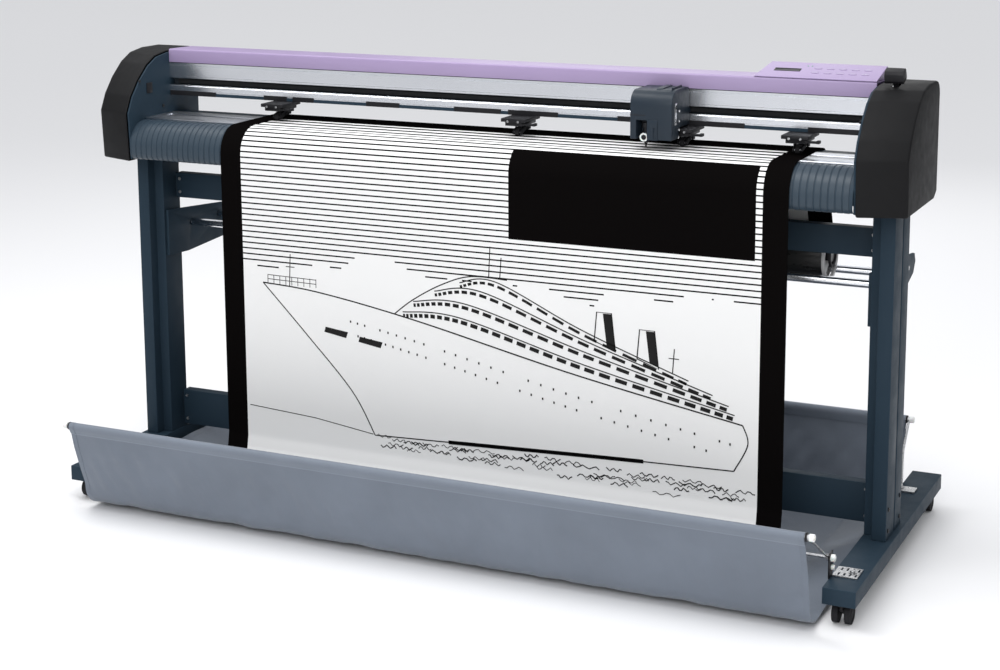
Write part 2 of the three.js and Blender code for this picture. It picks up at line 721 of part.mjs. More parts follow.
// ---- the loaded sheet, off the roll, over the platen and down into the basket ----
function loadedSheet() {
  const { left, right, thickness, bottom } = SHEET;
  const level = PLATEN.top + GAP;
  const bendY = GUIDE.front + GUIDE.radius;
  const bendZ = PLATEN.top - PLATEN.thickness - GUIDE.radius;
  const bend = level - bendZ;
  const front = bendY - bend;
  const path = [
    ...arc(ROLL.y, ROLL.z, ROLL.r + 1, 4, 14, 2),
    ...arc(72, level - 41, 41, 8, 90, 7),
    ...arc(bendY, bendZ, bend, 90, 180, 9),
    [front, bottom + 60], [front - 6, bottom + 28], [front - 18, bottom],
  ];
  // reversed, so that the sheet is thickened away from the machine
  return alongX(ribbon([...path].reverse(), thickness), left, right);
}
piece("loaded_sheet", loadedSheet(), VINYL);

export default machine;
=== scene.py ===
# Wide-format vinyl cutting plotter on a caster stand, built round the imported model. Metres;
# +X to the operator's right, +Y to the rear, +Z up, the floor at Z = 0.
import math

import bmesh
import bpy
from mathutils import Matrix, Vector, noise


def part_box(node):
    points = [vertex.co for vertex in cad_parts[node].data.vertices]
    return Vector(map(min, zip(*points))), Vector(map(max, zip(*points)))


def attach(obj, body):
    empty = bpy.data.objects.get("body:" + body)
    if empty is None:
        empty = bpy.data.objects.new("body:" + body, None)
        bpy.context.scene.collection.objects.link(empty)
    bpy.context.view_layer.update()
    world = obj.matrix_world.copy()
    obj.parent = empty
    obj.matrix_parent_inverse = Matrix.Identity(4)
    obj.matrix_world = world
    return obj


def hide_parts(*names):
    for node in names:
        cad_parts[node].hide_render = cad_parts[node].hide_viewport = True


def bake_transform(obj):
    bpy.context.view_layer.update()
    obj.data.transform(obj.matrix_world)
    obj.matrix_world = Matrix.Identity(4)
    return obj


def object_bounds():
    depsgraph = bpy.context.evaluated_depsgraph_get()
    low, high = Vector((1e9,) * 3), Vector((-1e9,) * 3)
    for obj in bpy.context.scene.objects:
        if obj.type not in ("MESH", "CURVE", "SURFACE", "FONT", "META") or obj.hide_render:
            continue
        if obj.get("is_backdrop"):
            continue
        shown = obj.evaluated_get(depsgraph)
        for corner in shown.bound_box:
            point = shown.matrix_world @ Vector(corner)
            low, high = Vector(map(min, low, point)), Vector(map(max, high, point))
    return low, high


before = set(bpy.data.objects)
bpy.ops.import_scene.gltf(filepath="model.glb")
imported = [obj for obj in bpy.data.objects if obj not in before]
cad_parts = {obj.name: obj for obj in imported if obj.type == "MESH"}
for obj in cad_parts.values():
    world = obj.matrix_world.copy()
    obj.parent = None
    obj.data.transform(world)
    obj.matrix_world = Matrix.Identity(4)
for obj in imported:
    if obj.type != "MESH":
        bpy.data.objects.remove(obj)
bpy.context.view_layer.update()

SIDES = (("right", 1), ("left", -1))


# ---- The room ----
# A pale floor, a white ceiling and soft lights overhead, in front and at both sides, as in a
# product studio. The camera stands to the machine's right and looks a little down on it.
def deselect():
    """Object mode with nothing selected, which is where each new piece starts."""
    if bpy.context.object and bpy.context.object.mode != "OBJECT":
        bpy.ops.object.mode_set(mode="OBJECT")
    bpy.ops.object.select_all(action="DESELECT")


def new_finish(name, colour, rough, metal=0.0, **sockets):
    """A material; sockets are further inputs of its shader, with spaces written as _."""
    finish = bpy.data.materials.new(name)
    finish.use_nodes = True
    finish.diffuse_color = (*colour, 1)
    shader = finish.node_tree.nodes["Principled BSDF"]
    shader.inputs["Base Color"].default_value = (*colour, 1)
    shader.inputs["Roughness"].default_value = rough
    shader.inputs["Metallic"].default_value = metal
    for key, value in sockets.items():
        shader.inputs[key.replace("_", " ")].default_value = value
    return finish


def add(finish, kind, inputs=(), **settings):
    """A node of the finish; an input is a value or the socket that feeds it."""
    made = finish.node_tree.nodes.new("ShaderNode" + kind)
    for key, value in settings.items():
        setattr(made, key, value)
    for key, value in dict(inputs).items():
        if isinstance(value, bpy.types.NodeSocket):
            finish.node_tree.links.new(value, made.inputs[key])
        else:
            made.inputs[key].default_value = value
    return made


def feed(finish, socket, value):
    """Links a value to an input of the finish's shader."""
    shader = finish.node_tree.nodes["Principled BSDF"]
    finish.node_tree.links.new(value, shader.inputs[socket])


def calc(finish, operation, *values, clamp=False):
    made = add(finish, "Math", enumerate(values), operation=operation, use_clamp=clamp)
    return made.outputs[0]


def blend_colours(finish, factor, first, second):
    """From the first colour, or what feeds it, to the second as the factor goes from 0 to 1."""
    fed = isinstance(first, bpy.types.NodeSocket)
    inputs = {0: factor, 6: first if fed else (*first, 1), 7: (*second, 1)}
    return add(finish, "Mix", inputs, data_type="RGBA").outputs[2]


floor_paint = new_finish("pale_floor", (0.86, 0.86, 0.87), 0.6)
speckle = add(floor_paint, "TexNoise", {"Scale": 3.0, "Detail": 3.0})
feed(
    floor_paint,
    "Base Color",
    blend_colours(floor_paint, speckle.outputs[0], (0.84, 0.84, 0.85), (0.88, 0.88, 0.89)),
)
deselect()
bpy.ops.mesh.primitive_plane_add(size=40, location=(0, 0, 0))
floor = bpy.context.object
floor.name = "floor"
floor.data.materials.append(floor_paint)
floor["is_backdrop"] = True

world = bpy.data.worlds.new("studio")
world.use_nodes = True
sky = add(world, "TexCoord").outputs["Generated"]
rise = add(world, "SeparateXYZ", {0: sky}).outputs[2]
# the low surround is dark, so that dark parts stay dark where they are seen at a slant
ceiling = add(world, "MapRange", {0: rise, 1: 0.28, 2: 0.62, 3: 0.13, 4: 1.05}).outputs[0]
seen = add(world, "LightPath").outputs["Is Camera Ray"]
ceiling = add(world, "Mix", {0: seen, 2: ceiling, 3: 0.95}, data_type="FLOAT").outputs[0]
backdrop = world.node_tree.nodes["Background"]
backdrop.inputs[0].default_value = (0.97, 0.98, 1.0, 1)
world.node_tree.links.new(ceiling, backdrop.inputs[1])
bpy.context.scene.world = world
bpy.context.scene.view_settings.view_transform = "Standard"

SOFT_BOXES = (
    ("overhead", (-0.6, -0.9, 4.0), (-0.2, -0.1, 0.9), 4.4, 1.3, 92),
    ("front", (1.2, -5.2, 2.8), (0, 0, 0.5), 3.0, 3.0, 112),
    ("left", (-3.8, -3.8, 2.6), (0, 0, 0.6), 3.0, 3.0, 14),
    ("right", (4.4, -3.4, 2.6), (0.4, 0, 0.5), 2.4, 2.4, 8),
    ("behind", (-1.0, 4.4, 3.0), (0, 0, 0.8), 3.0, 3.0, 34),
)
for name, place, target, wide, deep, power in SOFT_BOXES:
    light = bpy.data.lights.new(name, "AREA")
    light.shape = "RECTANGLE"
    light.size, light.size_y = wide, deep
    light.energy = power
    lamp = bpy.data.objects.new(name, light)
    lamp.location = place
    lamp.rotation_euler = (Vector(target) - Vector(place)).to_track_quat("-Z", "Y").to_euler()
    bpy.context.collection.objects.link(lamp)

camera = bpy.data.objects.new("camera", bpy.data.cameras.new("camera"))
camera.location = (2.027, -4.275, 1.707)
aim = Matrix.Rotation(math.radians(25.08), 4, "Z")
aim = aim @ Matrix.Rotation(math.radians(90 - 10.09), 4, "X")
camera.rotation_euler = (aim @ Matrix.Rotation(math.radians(-0.29), 4, "Z")).to_euler()
camera.data.lens = 68.13
camera.data.shift_y = -0.15
bpy.context.collection.objects.link(camera)
bpy.context.scene.camera = camera


# ---- Feet ----
# Two inverted channels of folded sheet steel, powder coated dark blue-grey, closed at both ends
# where the casters bolt on. Everything else stands on them.
def block(name, low, high):
    """A cube that fills the space from low to high."""
    deselect()
    centre = [(a + b) / 2 for a, b in zip(low, high)]
    bpy.ops.mesh.primitive_cube_add(size=1, location=centre)
    made = bpy.context.object
    made.name = made.data.name = name
    made.scale = [b - a for a, b in zip(low, high)]
    bpy.ops.object.transform_apply(location=True, rotation=True, scale=True)
    return made


def work_on(piece):
    deselect()
    piece.select_set(True)
    bpy.context.view_layer.objects.active = piece


def choose(piece, test):
    """Edit mode, with the faces selected whose centre and normal pass the test."""
    work_on(piece)
    bpy.ops.object.mode_set(mode="EDIT")
    bpy.ops.mesh.select_mode(type="FACE")
    bpy.ops.mesh.select_all(action="DESELECT")
    mesh = bmesh.from_edit_mesh(piece.data)
    for face in mesh.faces:
        face.select_set(bool(test(face.calc_center_median(), face.normal)))
    mesh.select_flush(True)
    bmesh.update_edit_mesh(piece.data)


def press(piece, test, rim, depth):
    """Insets the chosen faces by rim, and sinks them by depth, or raises them if it is negative."""
    choose(piece, test)
    bpy.ops.mesh.inset(thickness=rim)
    bpy.ops.mesh.inset(thickness=1e-5, depth=-depth)
    bpy.ops.object.mode_set(mode="OBJECT")


def slice_at(piece, point, normal):
    """Cuts the piece's faces along a plane, and keeps both sides."""
    choose(piece, lambda centre, face_normal: True)
    bpy.ops.mesh.bisect(plane_co=point, plane_no=normal)
    bpy.ops.object.mode_set(mode="OBJECT")


def modify(piece, kind, **values):
    """Adds a modifier and applies it."""
    work_on(piece)
    modifier = piece.modifiers.new(kind.lower(), kind)
    for key, value in values.items():
        setattr(modifier, key, value)
    bpy.ops.object.modifier_apply(modifier=modifier.name)


def smooth(piece, angle=35):
    work_on(piece)
    bpy.ops.object.shade_smooth_by_angle(angle=math.radians(angle))


def soften(piece, width, segments=2, angle=30):
    """Rounds the piece's edges."""
    limit = math.radians(angle)
    modify(piece, "BEVEL", width=width, segments=segments, limit_method="ANGLE", angle_limit=limit)
    smooth(piece)


def dress(piece, finish):
    piece.data.materials.clear()
    piece.data.materials.append(finish)
    return piece


def surface(finish, coords, shade, patch, gloss, grain, relief, edge=None):
    """Patchy colour and gloss, a fine grain in relief, and a painted highlight along the edges."""
    shader = finish.node_tree.nodes["Principled BSDF"]
    colour = shader.inputs["Base Color"].default_value[:3]
    rough = shader.inputs["Roughness"].default_value
    clouds = add(finish, "TexNoise", {"Vector": coords, "Scale": patch, "Detail": 5.0})
    dark = [c * (1 - shade) for c in colour]
    light = [min(1, c * (1 + shade)) for c in colour]
    tone = blend_colours(finish, clouds.outputs[0], dark, light)
    smears = add(finish, "TexNoise", {"Vector": coords, "Scale": patch * 4.3, "Detail": 6.0})
    inputs = {0: smears.outputs[0], 1: 0.3, 2: 0.7, 3: rough - gloss, 4: rough + gloss}
    feed(finish, "Roughness", add(finish, "MapRange", inputs).outputs[0])
    fine = add(finish, "TexNoise", {"Vector": coords, "Scale": grain, "Detail": 2.0})
    bump = add(finish, "Bump", {"Height": fine.outputs[0], "Distance": relief, "Strength": 0.7})
    if edge:
        # painted highlight: the edges take a lighter colour, in patches, where the rounded normal
        # parts from the face's own
        radius, highlight_colour = edge
        rounded = add(finish, "Bevel", {"Radius": radius}, samples=4)
        true = add(finish, "NewGeometry")
        pair = {0: rounded.outputs[0], 1: true.outputs["Normal"]}
        facing = add(finish, "VectorMath", pair, operation="DOT_PRODUCT")
        edge_highlight = calc(finish, "LESS_THAN", facing.outputs["Value"], 0.985)
        edge_highlight = calc(finish, "MULTIPLY", edge_highlight, smears.outputs[0])
        tone = blend_colours(finish, edge_highlight, tone, highlight_colour)
        finish.node_tree.links.new(rounded.outputs[0], bump.inputs["Normal"])
    feed(finish, "Base Color", tone)
    feed(finish, "Normal", bump.outputs[0])
    return tone, bump


def in_place(finish, stretch=(1, 1, 1)):
    """Object coordinates, scaled along each axis."""
    coords = add(finish, "TexCoord").outputs["Object"]
    return add(finish, "Mapping", {"Vector": coords, "Scale": stretch}).outputs[0]


def grained(name, colour, rough, metal, texture, edge=None, stretch=(1, 1, 1), **sockets):
    """A material with surface() detail on Object coordinates."""
    finish = new_finish(name, colour, rough, metal, **sockets)
    surface(finish, in_place(finish, stretch), *texture, edge)
    return finish


def fit(piece, body, node=None):
    """The piece rides the body, and may stand for a CAD node, which it hides."""
    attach(piece, body)
    if node:
        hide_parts(node)


# the lighter blue given to its edges is a painted highlight
STEEL_BLUE = grained(
    "blue_grey_powder_coat", (0.020, 0.036, 0.053), 0.50, 0.0, (0.12, 5, 0.07, 900, 0.00025),
    edge=(0.0012, (0.048, 0.080, 0.114)), Specular_IOR_Level=0.10,
)

END_BLOCK = 0.06
FOOT_WALL = 0.0025
FOOT_MIDDLE = 0.057
FOOT_HOLLOW = 0.0365
for side, _ in SIDES:
    low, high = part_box(f"foot_{side}")
    foot = block(f"foot_channel_{side}", low, high)
    slice_at(foot, (0, low.y + END_BLOCK, 0), (0, 1, 0))
    slice_at(foot, (0, high.y - END_BLOCK, 0), (0, 1, 0))
    press(foot, lambda c, n: n.z < -0.9 and abs(c.y - FOOT_MIDDLE) < 0.1, FOOT_WALL, FOOT_HOLLOW)
    soften(foot, 0.002, 3)
    dress(foot, STEEL_BLUE)
    fit(foot, "root", f"foot_{side}")


# ---- Casters ----
# Four swivelling twin-wheel casters of black nylon. A round plate with a bolt runs up into the
# foot, and the two wheels turn on one steel pin through the hood between them.
def drum(name, centre, radius, length, axis="X", sides=32):
    """A cylinder about its centre, along X, Y or Z."""
    deselect()
    turn = {"X": (0, math.pi / 2, 0), "Y": (math.pi / 2, 0, 0), "Z": (0, 0, 0)}[axis]
    bpy.ops.mesh.primitive_cylinder_add(
        vertices=sides, radius=radius, depth=length, location=centre, rotation=turn
    )
    made = bpy.context.object
    made.name = made.data.name = name
    bpy.ops.object.transform_apply(location=True, rotation=True, scale=True)
    return made


def join(name, *pieces):
    """One piece from several."""
    deselect()
    for each in pieces:
        each.select_set(True)
    bpy.context.view_layer.objects.active = pieces[0]
    if len(pieces) > 1:
        bpy.ops.object.join()
    pieces[0].name = pieces[0].data.name = name
    return pieces[0]


def rounded(name, node, width, segments=2, angle=30):
    """The CAD node's own shape with its edges rounded, as the moulded or folded piece has them."""
    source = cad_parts[node]
    made = bpy.data.objects.new(name, source.data.copy())
    made.data.name = name
    bpy.context.collection.objects.link(made)
    work_on(made)
    bpy.ops.object.mode_set(mode="EDIT")
    bpy.ops.mesh.select_all(action="SELECT")
    bpy.ops.mesh.remove_doubles(threshold=1e-5)
    bpy.ops.mesh.dissolve_limited(angle_limit=math.radians(1))
    bpy.ops.object.mode_set(mode="OBJECT")
    bpy.ops.mesh.customdata_custom_splitnormals_clear()
    soften(made, width, segments, angle)
    return made


# the grey given to its edges is a painted highlight
NYLON = grained(
    "black_nylon", (0.011, 0.011, 0.013), 0.45, 0.0, (0.12, 14, 0.08, 1400, 0.00012),
    edge=(0.0006, (0.05, 0.05, 0.055)), Specular_IOR_Level=0.22,
)
TREAD = grained(
    "scuffed_tread", (0.014, 0.014, 0.016), 0.75, 0.0, (0.30, 60, 0.12, 700, 0.0003),
    Specular_IOR_Level=0.2,
)

HUB_RIM = 0.0055
HALF_GAP = 0.0075
for side, _ in SIDES:
    for end in ("front", "rear"):
        where = f"{end}_{side}"
        low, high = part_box(f"caster_wheel_{where}")
        middle = (low + high) / 2
        radius = (high.z - low.z) / 2
        discs = []
        for sign in (1, -1):
            edge = high.x if sign > 0 else low.x
            inner = middle.x + sign * HALF_GAP
            place = ((edge + inner) / 2, middle.y, middle.z)
            disc = drum("disc", place, radius, abs(edge - inner), sides=48)
            press(disc, lambda c, n, s=sign: n.x * s > 0.9, HUB_RIM, 0.002)
            press(disc, lambda c, n, s=sign: n.x * s > 0.9 and abs(c.y - middle.y) < 0.001
                  and abs(c.z - middle.z) < 0.001, 0.008, -0.0015)
            soften(disc, 0.0012, 3, 40)
            discs.append(disc)
        axle = drum("axle", middle, 0.004, 2 * HALF_GAP + 0.004, sides=20)
        wheel = dress(join(f"twin_wheel_{where}", *discs, axle), TREAD)
        smooth(wheel)
        fit(wheel, f"wheel_{where}", f"caster_wheel_{where}")
        hood = dress(rounded(f"caster_fork_{where}", f"caster_hood_{where}", 0.0012), NYLON)
        fit(hood, f"caster_{where}", f"caster_hood_{where}")


# ---- Columns and crossbars ----
# Folded steel columns with an inward lip, and two channels bolted between the lips, open to the
# rear. Pan-head screws show at the crossbars' ends and on the columns' outer faces.
def section(name, outline, low, high, axis="X"):
    """A closed outline drawn out along X (outline in y, z) or along Z (outline in x, y)."""
    deselect()
    bpy.ops.mesh.primitive_circle_add(vertices=len(outline), radius=0.01, fill_type="NGON")
    made = bpy.context.object
    made.name = made.data.name = name
    for vertex, (a, b) in zip(made.data.vertices, outline):
        vertex.co = (low, a, b) if axis == "X" else (a, b, low)
    bpy.ops.object.mode_set(mode="EDIT")
    bpy.ops.mesh.select_all(action="SELECT")
    step = (high - low, 0, 0) if axis == "X" else (0, 0, high - low)
    bpy.ops.mesh.extrude_region_move(TRANSFORM_OT_translate={"value": step})
    bpy.ops.mesh.select_all(action="SELECT")
    bpy.ops.mesh.normals_make_consistent(inside=False)
    bpy.ops.object.mode_set(mode="OBJECT")
    return made


def screw(centre, axis, out, radius=0.005, height=0.0028):
    """A pan-head screw with a socket; centre is on the face, and out is +1 or -1 along the axis."""
    number = "XYZ".index(axis)
    place = list(centre)
    place[number] += out * height / 2
    head = drum("screw", place, radius, height, axis, 18)
    press(head, lambda c, n: n[number] * out > 0.9, radius * 0.5, height * 0.6)
    soften(head, radius * 0.18, 2, 40)
    return head


ZINC = new_finish("zinc_plate", (0.56, 0.57, 0.58), 0.32, 1.0)
zinc_tone, _ = surface(ZINC, in_place(ZINC), 0.20, 30, 0.09, 1200, 0.00015)
spangle = add(ZINC, "TexVoronoi", {"Vector": in_place(ZINC), "Scale": 260.0})
feed(ZINC, "Base Color", blend_colours(ZINC, spangle.outputs[0], zinc_tone, (0.30, 0.30, 0.31)))
SCREW_BLACK = grained(
    "black_oxide_screw", (0.03, 0.03, 0.033), 0.35, 0.7, (0.15, 60, 0.08, 1500, 0.0001),
)

GROOVE_FRONT, GROOVE_REAR, GROOVE_DEEP = 0.025, 0.033, 0.006
LIP_FRONT, LIP_REAR, LIP_WIDE = -0.021, 0.057, 0.026
for side, sign in SIDES:
    low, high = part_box(f"column_{side}")
    lip, outer = (low.x, high.x) if sign > 0 else (high.x, low.x)
    inner = lip + sign * LIP_WIDE
    bed = outer - sign * GROOVE_DEEP
    outline = [
        (inner, low.y), (outer, low.y), (outer, GROOVE_FRONT), (bed, GROOVE_FRONT),
        (bed, GROOVE_REAR), (outer, GROOVE_REAR), (outer, high.y), (inner, high.y),
        (inner, LIP_REAR), (lip, LIP_REAR), (lip, LIP_FRONT), (inner, LIP_FRONT),
    ]
    column = section(f"column_tube_{side}", outline, low.z, high.z, "Z")
    soften(column, 0.0016, 3)
    dress(column, STEEL_BLUE)
    fit(column, "root", f"column_{side}")
    screws = []
    for z in (low.z + 0.022, low.z + 0.075):
        for y in (low.y + 0.018, high.y - 0.018):
            screws.append(screw((outer, y, z), "X", sign))
    bolts = dress(join(f"column_bolts_{side}", *screws), SCREW_BLACK)
    fit(bolts, "root")

wall = 0.002
for level in ("upper", "lower"):
    low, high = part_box(f"{level}_crossbar")
    outline = [
        (low.y, low.z), (high.y, low.z), (high.y, low.z + wall), (low.y + wall, low.z + wall),
        (low.y + wall, high.z - wall), (high.y, high.z - wall), (high.y, high.z), (low.y, high.z),
    ]
    bar = section(f"{level}_channel", outline, low.x, high.x)
    soften(bar, 0.0009, 2)
    dress(bar, STEEL_BLUE)
    fit(bar, "root", f"{level}_crossbar")
    screws = []
    for x in (low.x + 0.012, high.x - 0.012):
        for z in (low.z + 0.016, high.z - 0.016):
            screws.append(screw((x, low.y, z), "Y", -1, 0.0045))
    bolts = dress(join(f"{level}_channel_screws", *screws), ZINC)
    fit(bolts, "root")


# ---- Catch basket: cloth ----
# One length of blue-grey woven polyester. Each end is turned over a steel rod and sewn down as a
# sleeve; the sides are hemmed. It hangs as a sling, just clear of the floor.
def arc(y, z, radius, start, end, steps):
    turns = [math.radians(start + (end - start) * i / steps) for i in range(steps + 1)]
    return [(y + radius * math.cos(t), z + radius * math.sin(t)) for t in turns]


def evenly(path, step):
    """The path's points, respaced evenly, and each one's distance from the start."""
    lengths = [0.0]
    for (y0, z0), (y1, z1) in zip(path, path[1:]):
        lengths.append(lengths[-1] + math.hypot(y1 - y0, z1 - z0))
    count = round(lengths[-1] / step)
    points, k = [], 0
    for i in range(count + 1):
        distance = lengths[-1] * i / count
        while k < len(path) - 2 and lengths[k + 1] < distance:
            k += 1
        share = (distance - lengths[k]) / (lengths[k + 1] - lengths[k])
        (y0, z0), (y1, z1) = path[k], path[k + 1]
        points.append((y0 + (y1 - y0) * share, z0 + (z1 - z0) * share, distance))
    return points


def curtain(name, points, left, right, columns, push):
    """A sheet along X over the points; push moves a point by (x, distance, place)."""
    vertices, uvs, faces = [], [], []
    for row, (y, z, distance) in enumerate(points):
        for column in range(columns + 1):
            x = left + (right - left) * column / columns
            vertices.append(push(x, distance, Vector((x, y, z))))
            uvs.append((x - left, distance))
    wide = columns + 1
    for row in range(len(points) - 1):
        for column in range(columns):
            a = row * wide + column
            faces.append((a, a + 1, a + 1 + wide, a + wide))
    mesh = bpy.data.meshes.new(name)
    mesh.from_pydata(vertices, [], faces)
    layer = mesh.uv_layers.new(name="cloth")
    for loop in mesh.loops:
        layer.data[loop.index].uv = uvs[loop.vertex_index]
    made = bpy.data.objects.new(name, mesh)
    bpy.context.collection.objects.link(made)
    return made


low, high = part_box("basket_cloth")
front_low, front_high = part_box("basket_front_rod")
rear_low, rear_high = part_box("basket_rear_rod")
front_rod = (front_low + front_high) / 2
rear_rod = (rear_low + rear_high) / 2
SLEEVE = 0.0098
SEAM_DROP = 0.024
BELLY = 0.009
FRONT_BEND, REAR_BEND, BEND_R = -0.379, 0.371, 0.06
basket_path = [
    (front_rod.y + 0.0035, front_rod.z - SEAM_DROP),
    *arc(front_rod.y, front_rod.z, SLEEVE, -20, 200, 18),
    (front_rod.y + 0.0015, front_rod.z - SEAM_DROP),
    *arc(FRONT_BEND, BELLY + BEND_R, BEND_R, 194, 270, 14),
    *arc(REAR_BEND, BELLY + BEND_R, BEND_R, 270, 340, 14),
    (rear_rod.y - 0.0015, rear_rod.z - SEAM_DROP),
    *arc(rear_rod.y, rear_rod.z, SLEEVE, -20, 200, 18),
    (rear_rod.y - 0.0035, rear_rod.z - SEAM_DROP),
]
basket_points = evenly(basket_path, 0.0085)
basket_length = basket_points[-1][2]
SLEEVE_LENGTH = 0.078
HALF_WIDE = 0.975
END_LIFT = 0.058


def sag(x, distance, place):
    """Soft wrinkles, deepest below the sleeves and towards the two ends."""
    edge = min(distance, basket_length - distance)
    loose = min(max((edge - SLEEVE_LENGTH) / 0.05, 0), 1)
    end = abs(x) / HALF_WIDE
    front = 1 if distance < basket_length / 2 else -1
    waves = noise.noise(Vector((x * 5.5, distance * 2.0, 1.0))) * 0.008
    folds = noise.noise(Vector((x * 13 + distance * 9, distance * 6, 4.0))) * 0.0058
    tucks = noise.noise(Vector((x * 31 - distance * 12, distance * 11, 9.0))) * 0.0034
    near = math.exp(-((edge - 0.11) / 0.05) ** 2)
    drawn = noise.noise(Vector((x * 22, 0.0, 2.0))) * 0.0034 * near
    pull = max(0, end - 0.93) / 0.07 * 0.004
    swell = (waves + folds + tucks + drawn) * loose
    wall = min(max((place.z - 0.03) / 0.05, 0), 1)
    y = place.y + front * (swell + pull * loose) * wall
    z = place.z + abs(waves * 0.5 + folds) * loose * (1 - wall)
    rearward = min(max((place.y + 0.3) / 0.3, 0), 1)
    z += max(0, end - 0.88) / 0.12 * END_LIFT * rearward * (1 - wall)
    seam = math.exp(-((edge - SLEEVE_LENGTH) / 0.004) ** 2) * 0.001
    return Vector((x, y + front * seam, max(z, low.z + 0.0008)))


COLUMNS = 290
cloth = curtain("basket_sling", basket_points, low.x + 0.0006, high.x - 0.0006, COLUMNS, sag)
modify(cloth, "SOLIDIFY", thickness=0.0008, offset=0)
smooth(cloth, 80)


def woven(name, colour, thread):
    """Plain-weave polyester on the sheet's own coordinates."""
    finish = new_finish(name, colour, 0.72, 0.0, Sheen_Weight=0.25, Sheen_Roughness=0.4)
    coords = add(finish, "UVMap", uv_map="cloth").outputs[0]
    parts = add(finish, "SeparateXYZ", {0: coords})
    warp = calc(finish, "SINE", calc(finish, "MULTIPLY", parts.outputs[0], math.tau / thread))
    weft = calc(finish, "SINE", calc(finish, "MULTIPLY", parts.outputs[1], math.tau / thread))
    weave = calc(finish, "MULTIPLY", warp, weft)
    slubs = add(finish, "TexNoise", {"Vector": coords, "Scale": 340.0, "Detail": 3.0})
    tone, bump = surface(finish, coords, 0.24, 4.2, 0.05, 60, 0.0007)
    height = calc(finish, "MULTIPLY_ADD", weave, 0.5, slubs.outputs[0])
    threads = add(finish, "Bump", {"Height": height, "Distance": 0.00018, "Strength": 0.8})
    finish.node_tree.links.new(bump.outputs[0], threads.inputs["Normal"])
    feed(finish, "Normal", threads.outputs[0])
    return finish, tone, parts


CLOTH, cloth_tone, cloth_parts = woven("blue_grey_polyester", (0.142, 0.166, 0.205), 0.0016)
across, along = cloth_parts.outputs[0], cloth_parts.outputs[1]
from_end = calc(CLOTH, "MINIMUM", along, calc(CLOTH, "SUBTRACT", basket_length, along))
off_seam = calc(CLOTH, "ABSOLUTE", calc(CLOTH, "SUBTRACT", from_end, SLEEVE_LENGTH))
on_seam = calc(CLOTH, "LESS_THAN", off_seam, 0.0009)
dash = calc(CLOTH, "GREATER_THAN", calc(CLOTH, "FRACT", calc(CLOTH, "DIVIDE", across, 0.005)), 0.3)
stitch = calc(CLOTH, "MULTIPLY", on_seam, dash)
# the sleeves along the sling's top are painted paler: painted light where light falls on them
sleeve = calc(CLOTH, "LESS_THAN", from_end, SLEEVE_LENGTH)
sleeve_painted_light = blend_colours(CLOTH, calc(CLOTH, "MULTIPLY", sleeve, 0.3), cloth_tone, (0.20, 0.23, 0.275))
feed(CLOTH, "Base Color", blend_colours(CLOTH, stitch, sleeve_painted_light, (0.23, 0.26, 0.31)))
dress(cloth, CLOTH)

# the hems are folded strips down both sides of the sling, sewn flat to it
HEM = 0.014
hem_points = evenly(basket_path, 0.006)
for side, sign in SIDES:
    edge = sign * (high.x - 0.0004)

    def lifted(x, distance, place):
        """The sling's own surface, moved out by the fold's thickness."""
        shaped = sag(x, distance, place)
        lean = min(max((shaped.z - 0.03) / 0.05, 0), 1)
        front = 1 if distance < basket_length / 2 else -1
        return shaped + Vector((0, -front * 0.0007 * lean, 0.0007 * (1 - lean)))

    left, right = sorted((edge, edge - sign * HEM))
    hem = curtain(f"basket_hem_{side}", hem_points, left, right, 3, lifted)
    modify(hem, "SOLIDIFY", thickness=0.0012, offset=0)
    smooth(hem, 80)
    dress(hem, CLOTH)
    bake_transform(hem)
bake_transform(cloth)
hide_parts("basket_cloth")


# ---- Catch basket: rods, arms and brackets ----
# Zinc-plated tubes carry the sling. Black collars and white nylon knobs close their ends, wire
# arms hold the front tube off slotted brackets on the feet, and bent arms hold the rear one.
WHITE = grained(
    "white_nylon", (0.80, 0.80, 0.78), 0.35, 0.0, (0.05, 40, 0.06, 900, 0.0001),
    Subsurface_Weight=0.1,
)

for node in ("basket_front_rod", "basket_rear_rod", "basket_stay_rod"):
    dress(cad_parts[node], ZINC)


def knob(name, centre, sign, radius, length):
    """A ribbed knob pushed on the end of a tube, with a rounded outer face."""
    made = drum(name, centre, radius, length, sides=24)
    press(made, lambda c, n: n.x * sign > 0.9, radius * 0.35, -0.0015)
    choose(made, lambda c, n: abs(n.x) < 0.1 and round(math.atan2(n.y, n.z) * 12 / math.pi) % 2)
    bpy.ops.mesh.inset(thickness=0.0004, depth=-0.0006, use_individual=True)
    bpy.ops.object.mode_set(mode="OBJECT")
    soften(made, 0.0012, 2, 45)
    return dress(made, WHITE)


def cut_out(piece, low, high):
    """Cuts a box-shaped opening through the piece."""
    tool = block("tool", low, high)
    modify(piece, "BOOLEAN", operation="DIFFERENCE", object=tool, solver="EXACT")
    bpy.data.objects.remove(tool)


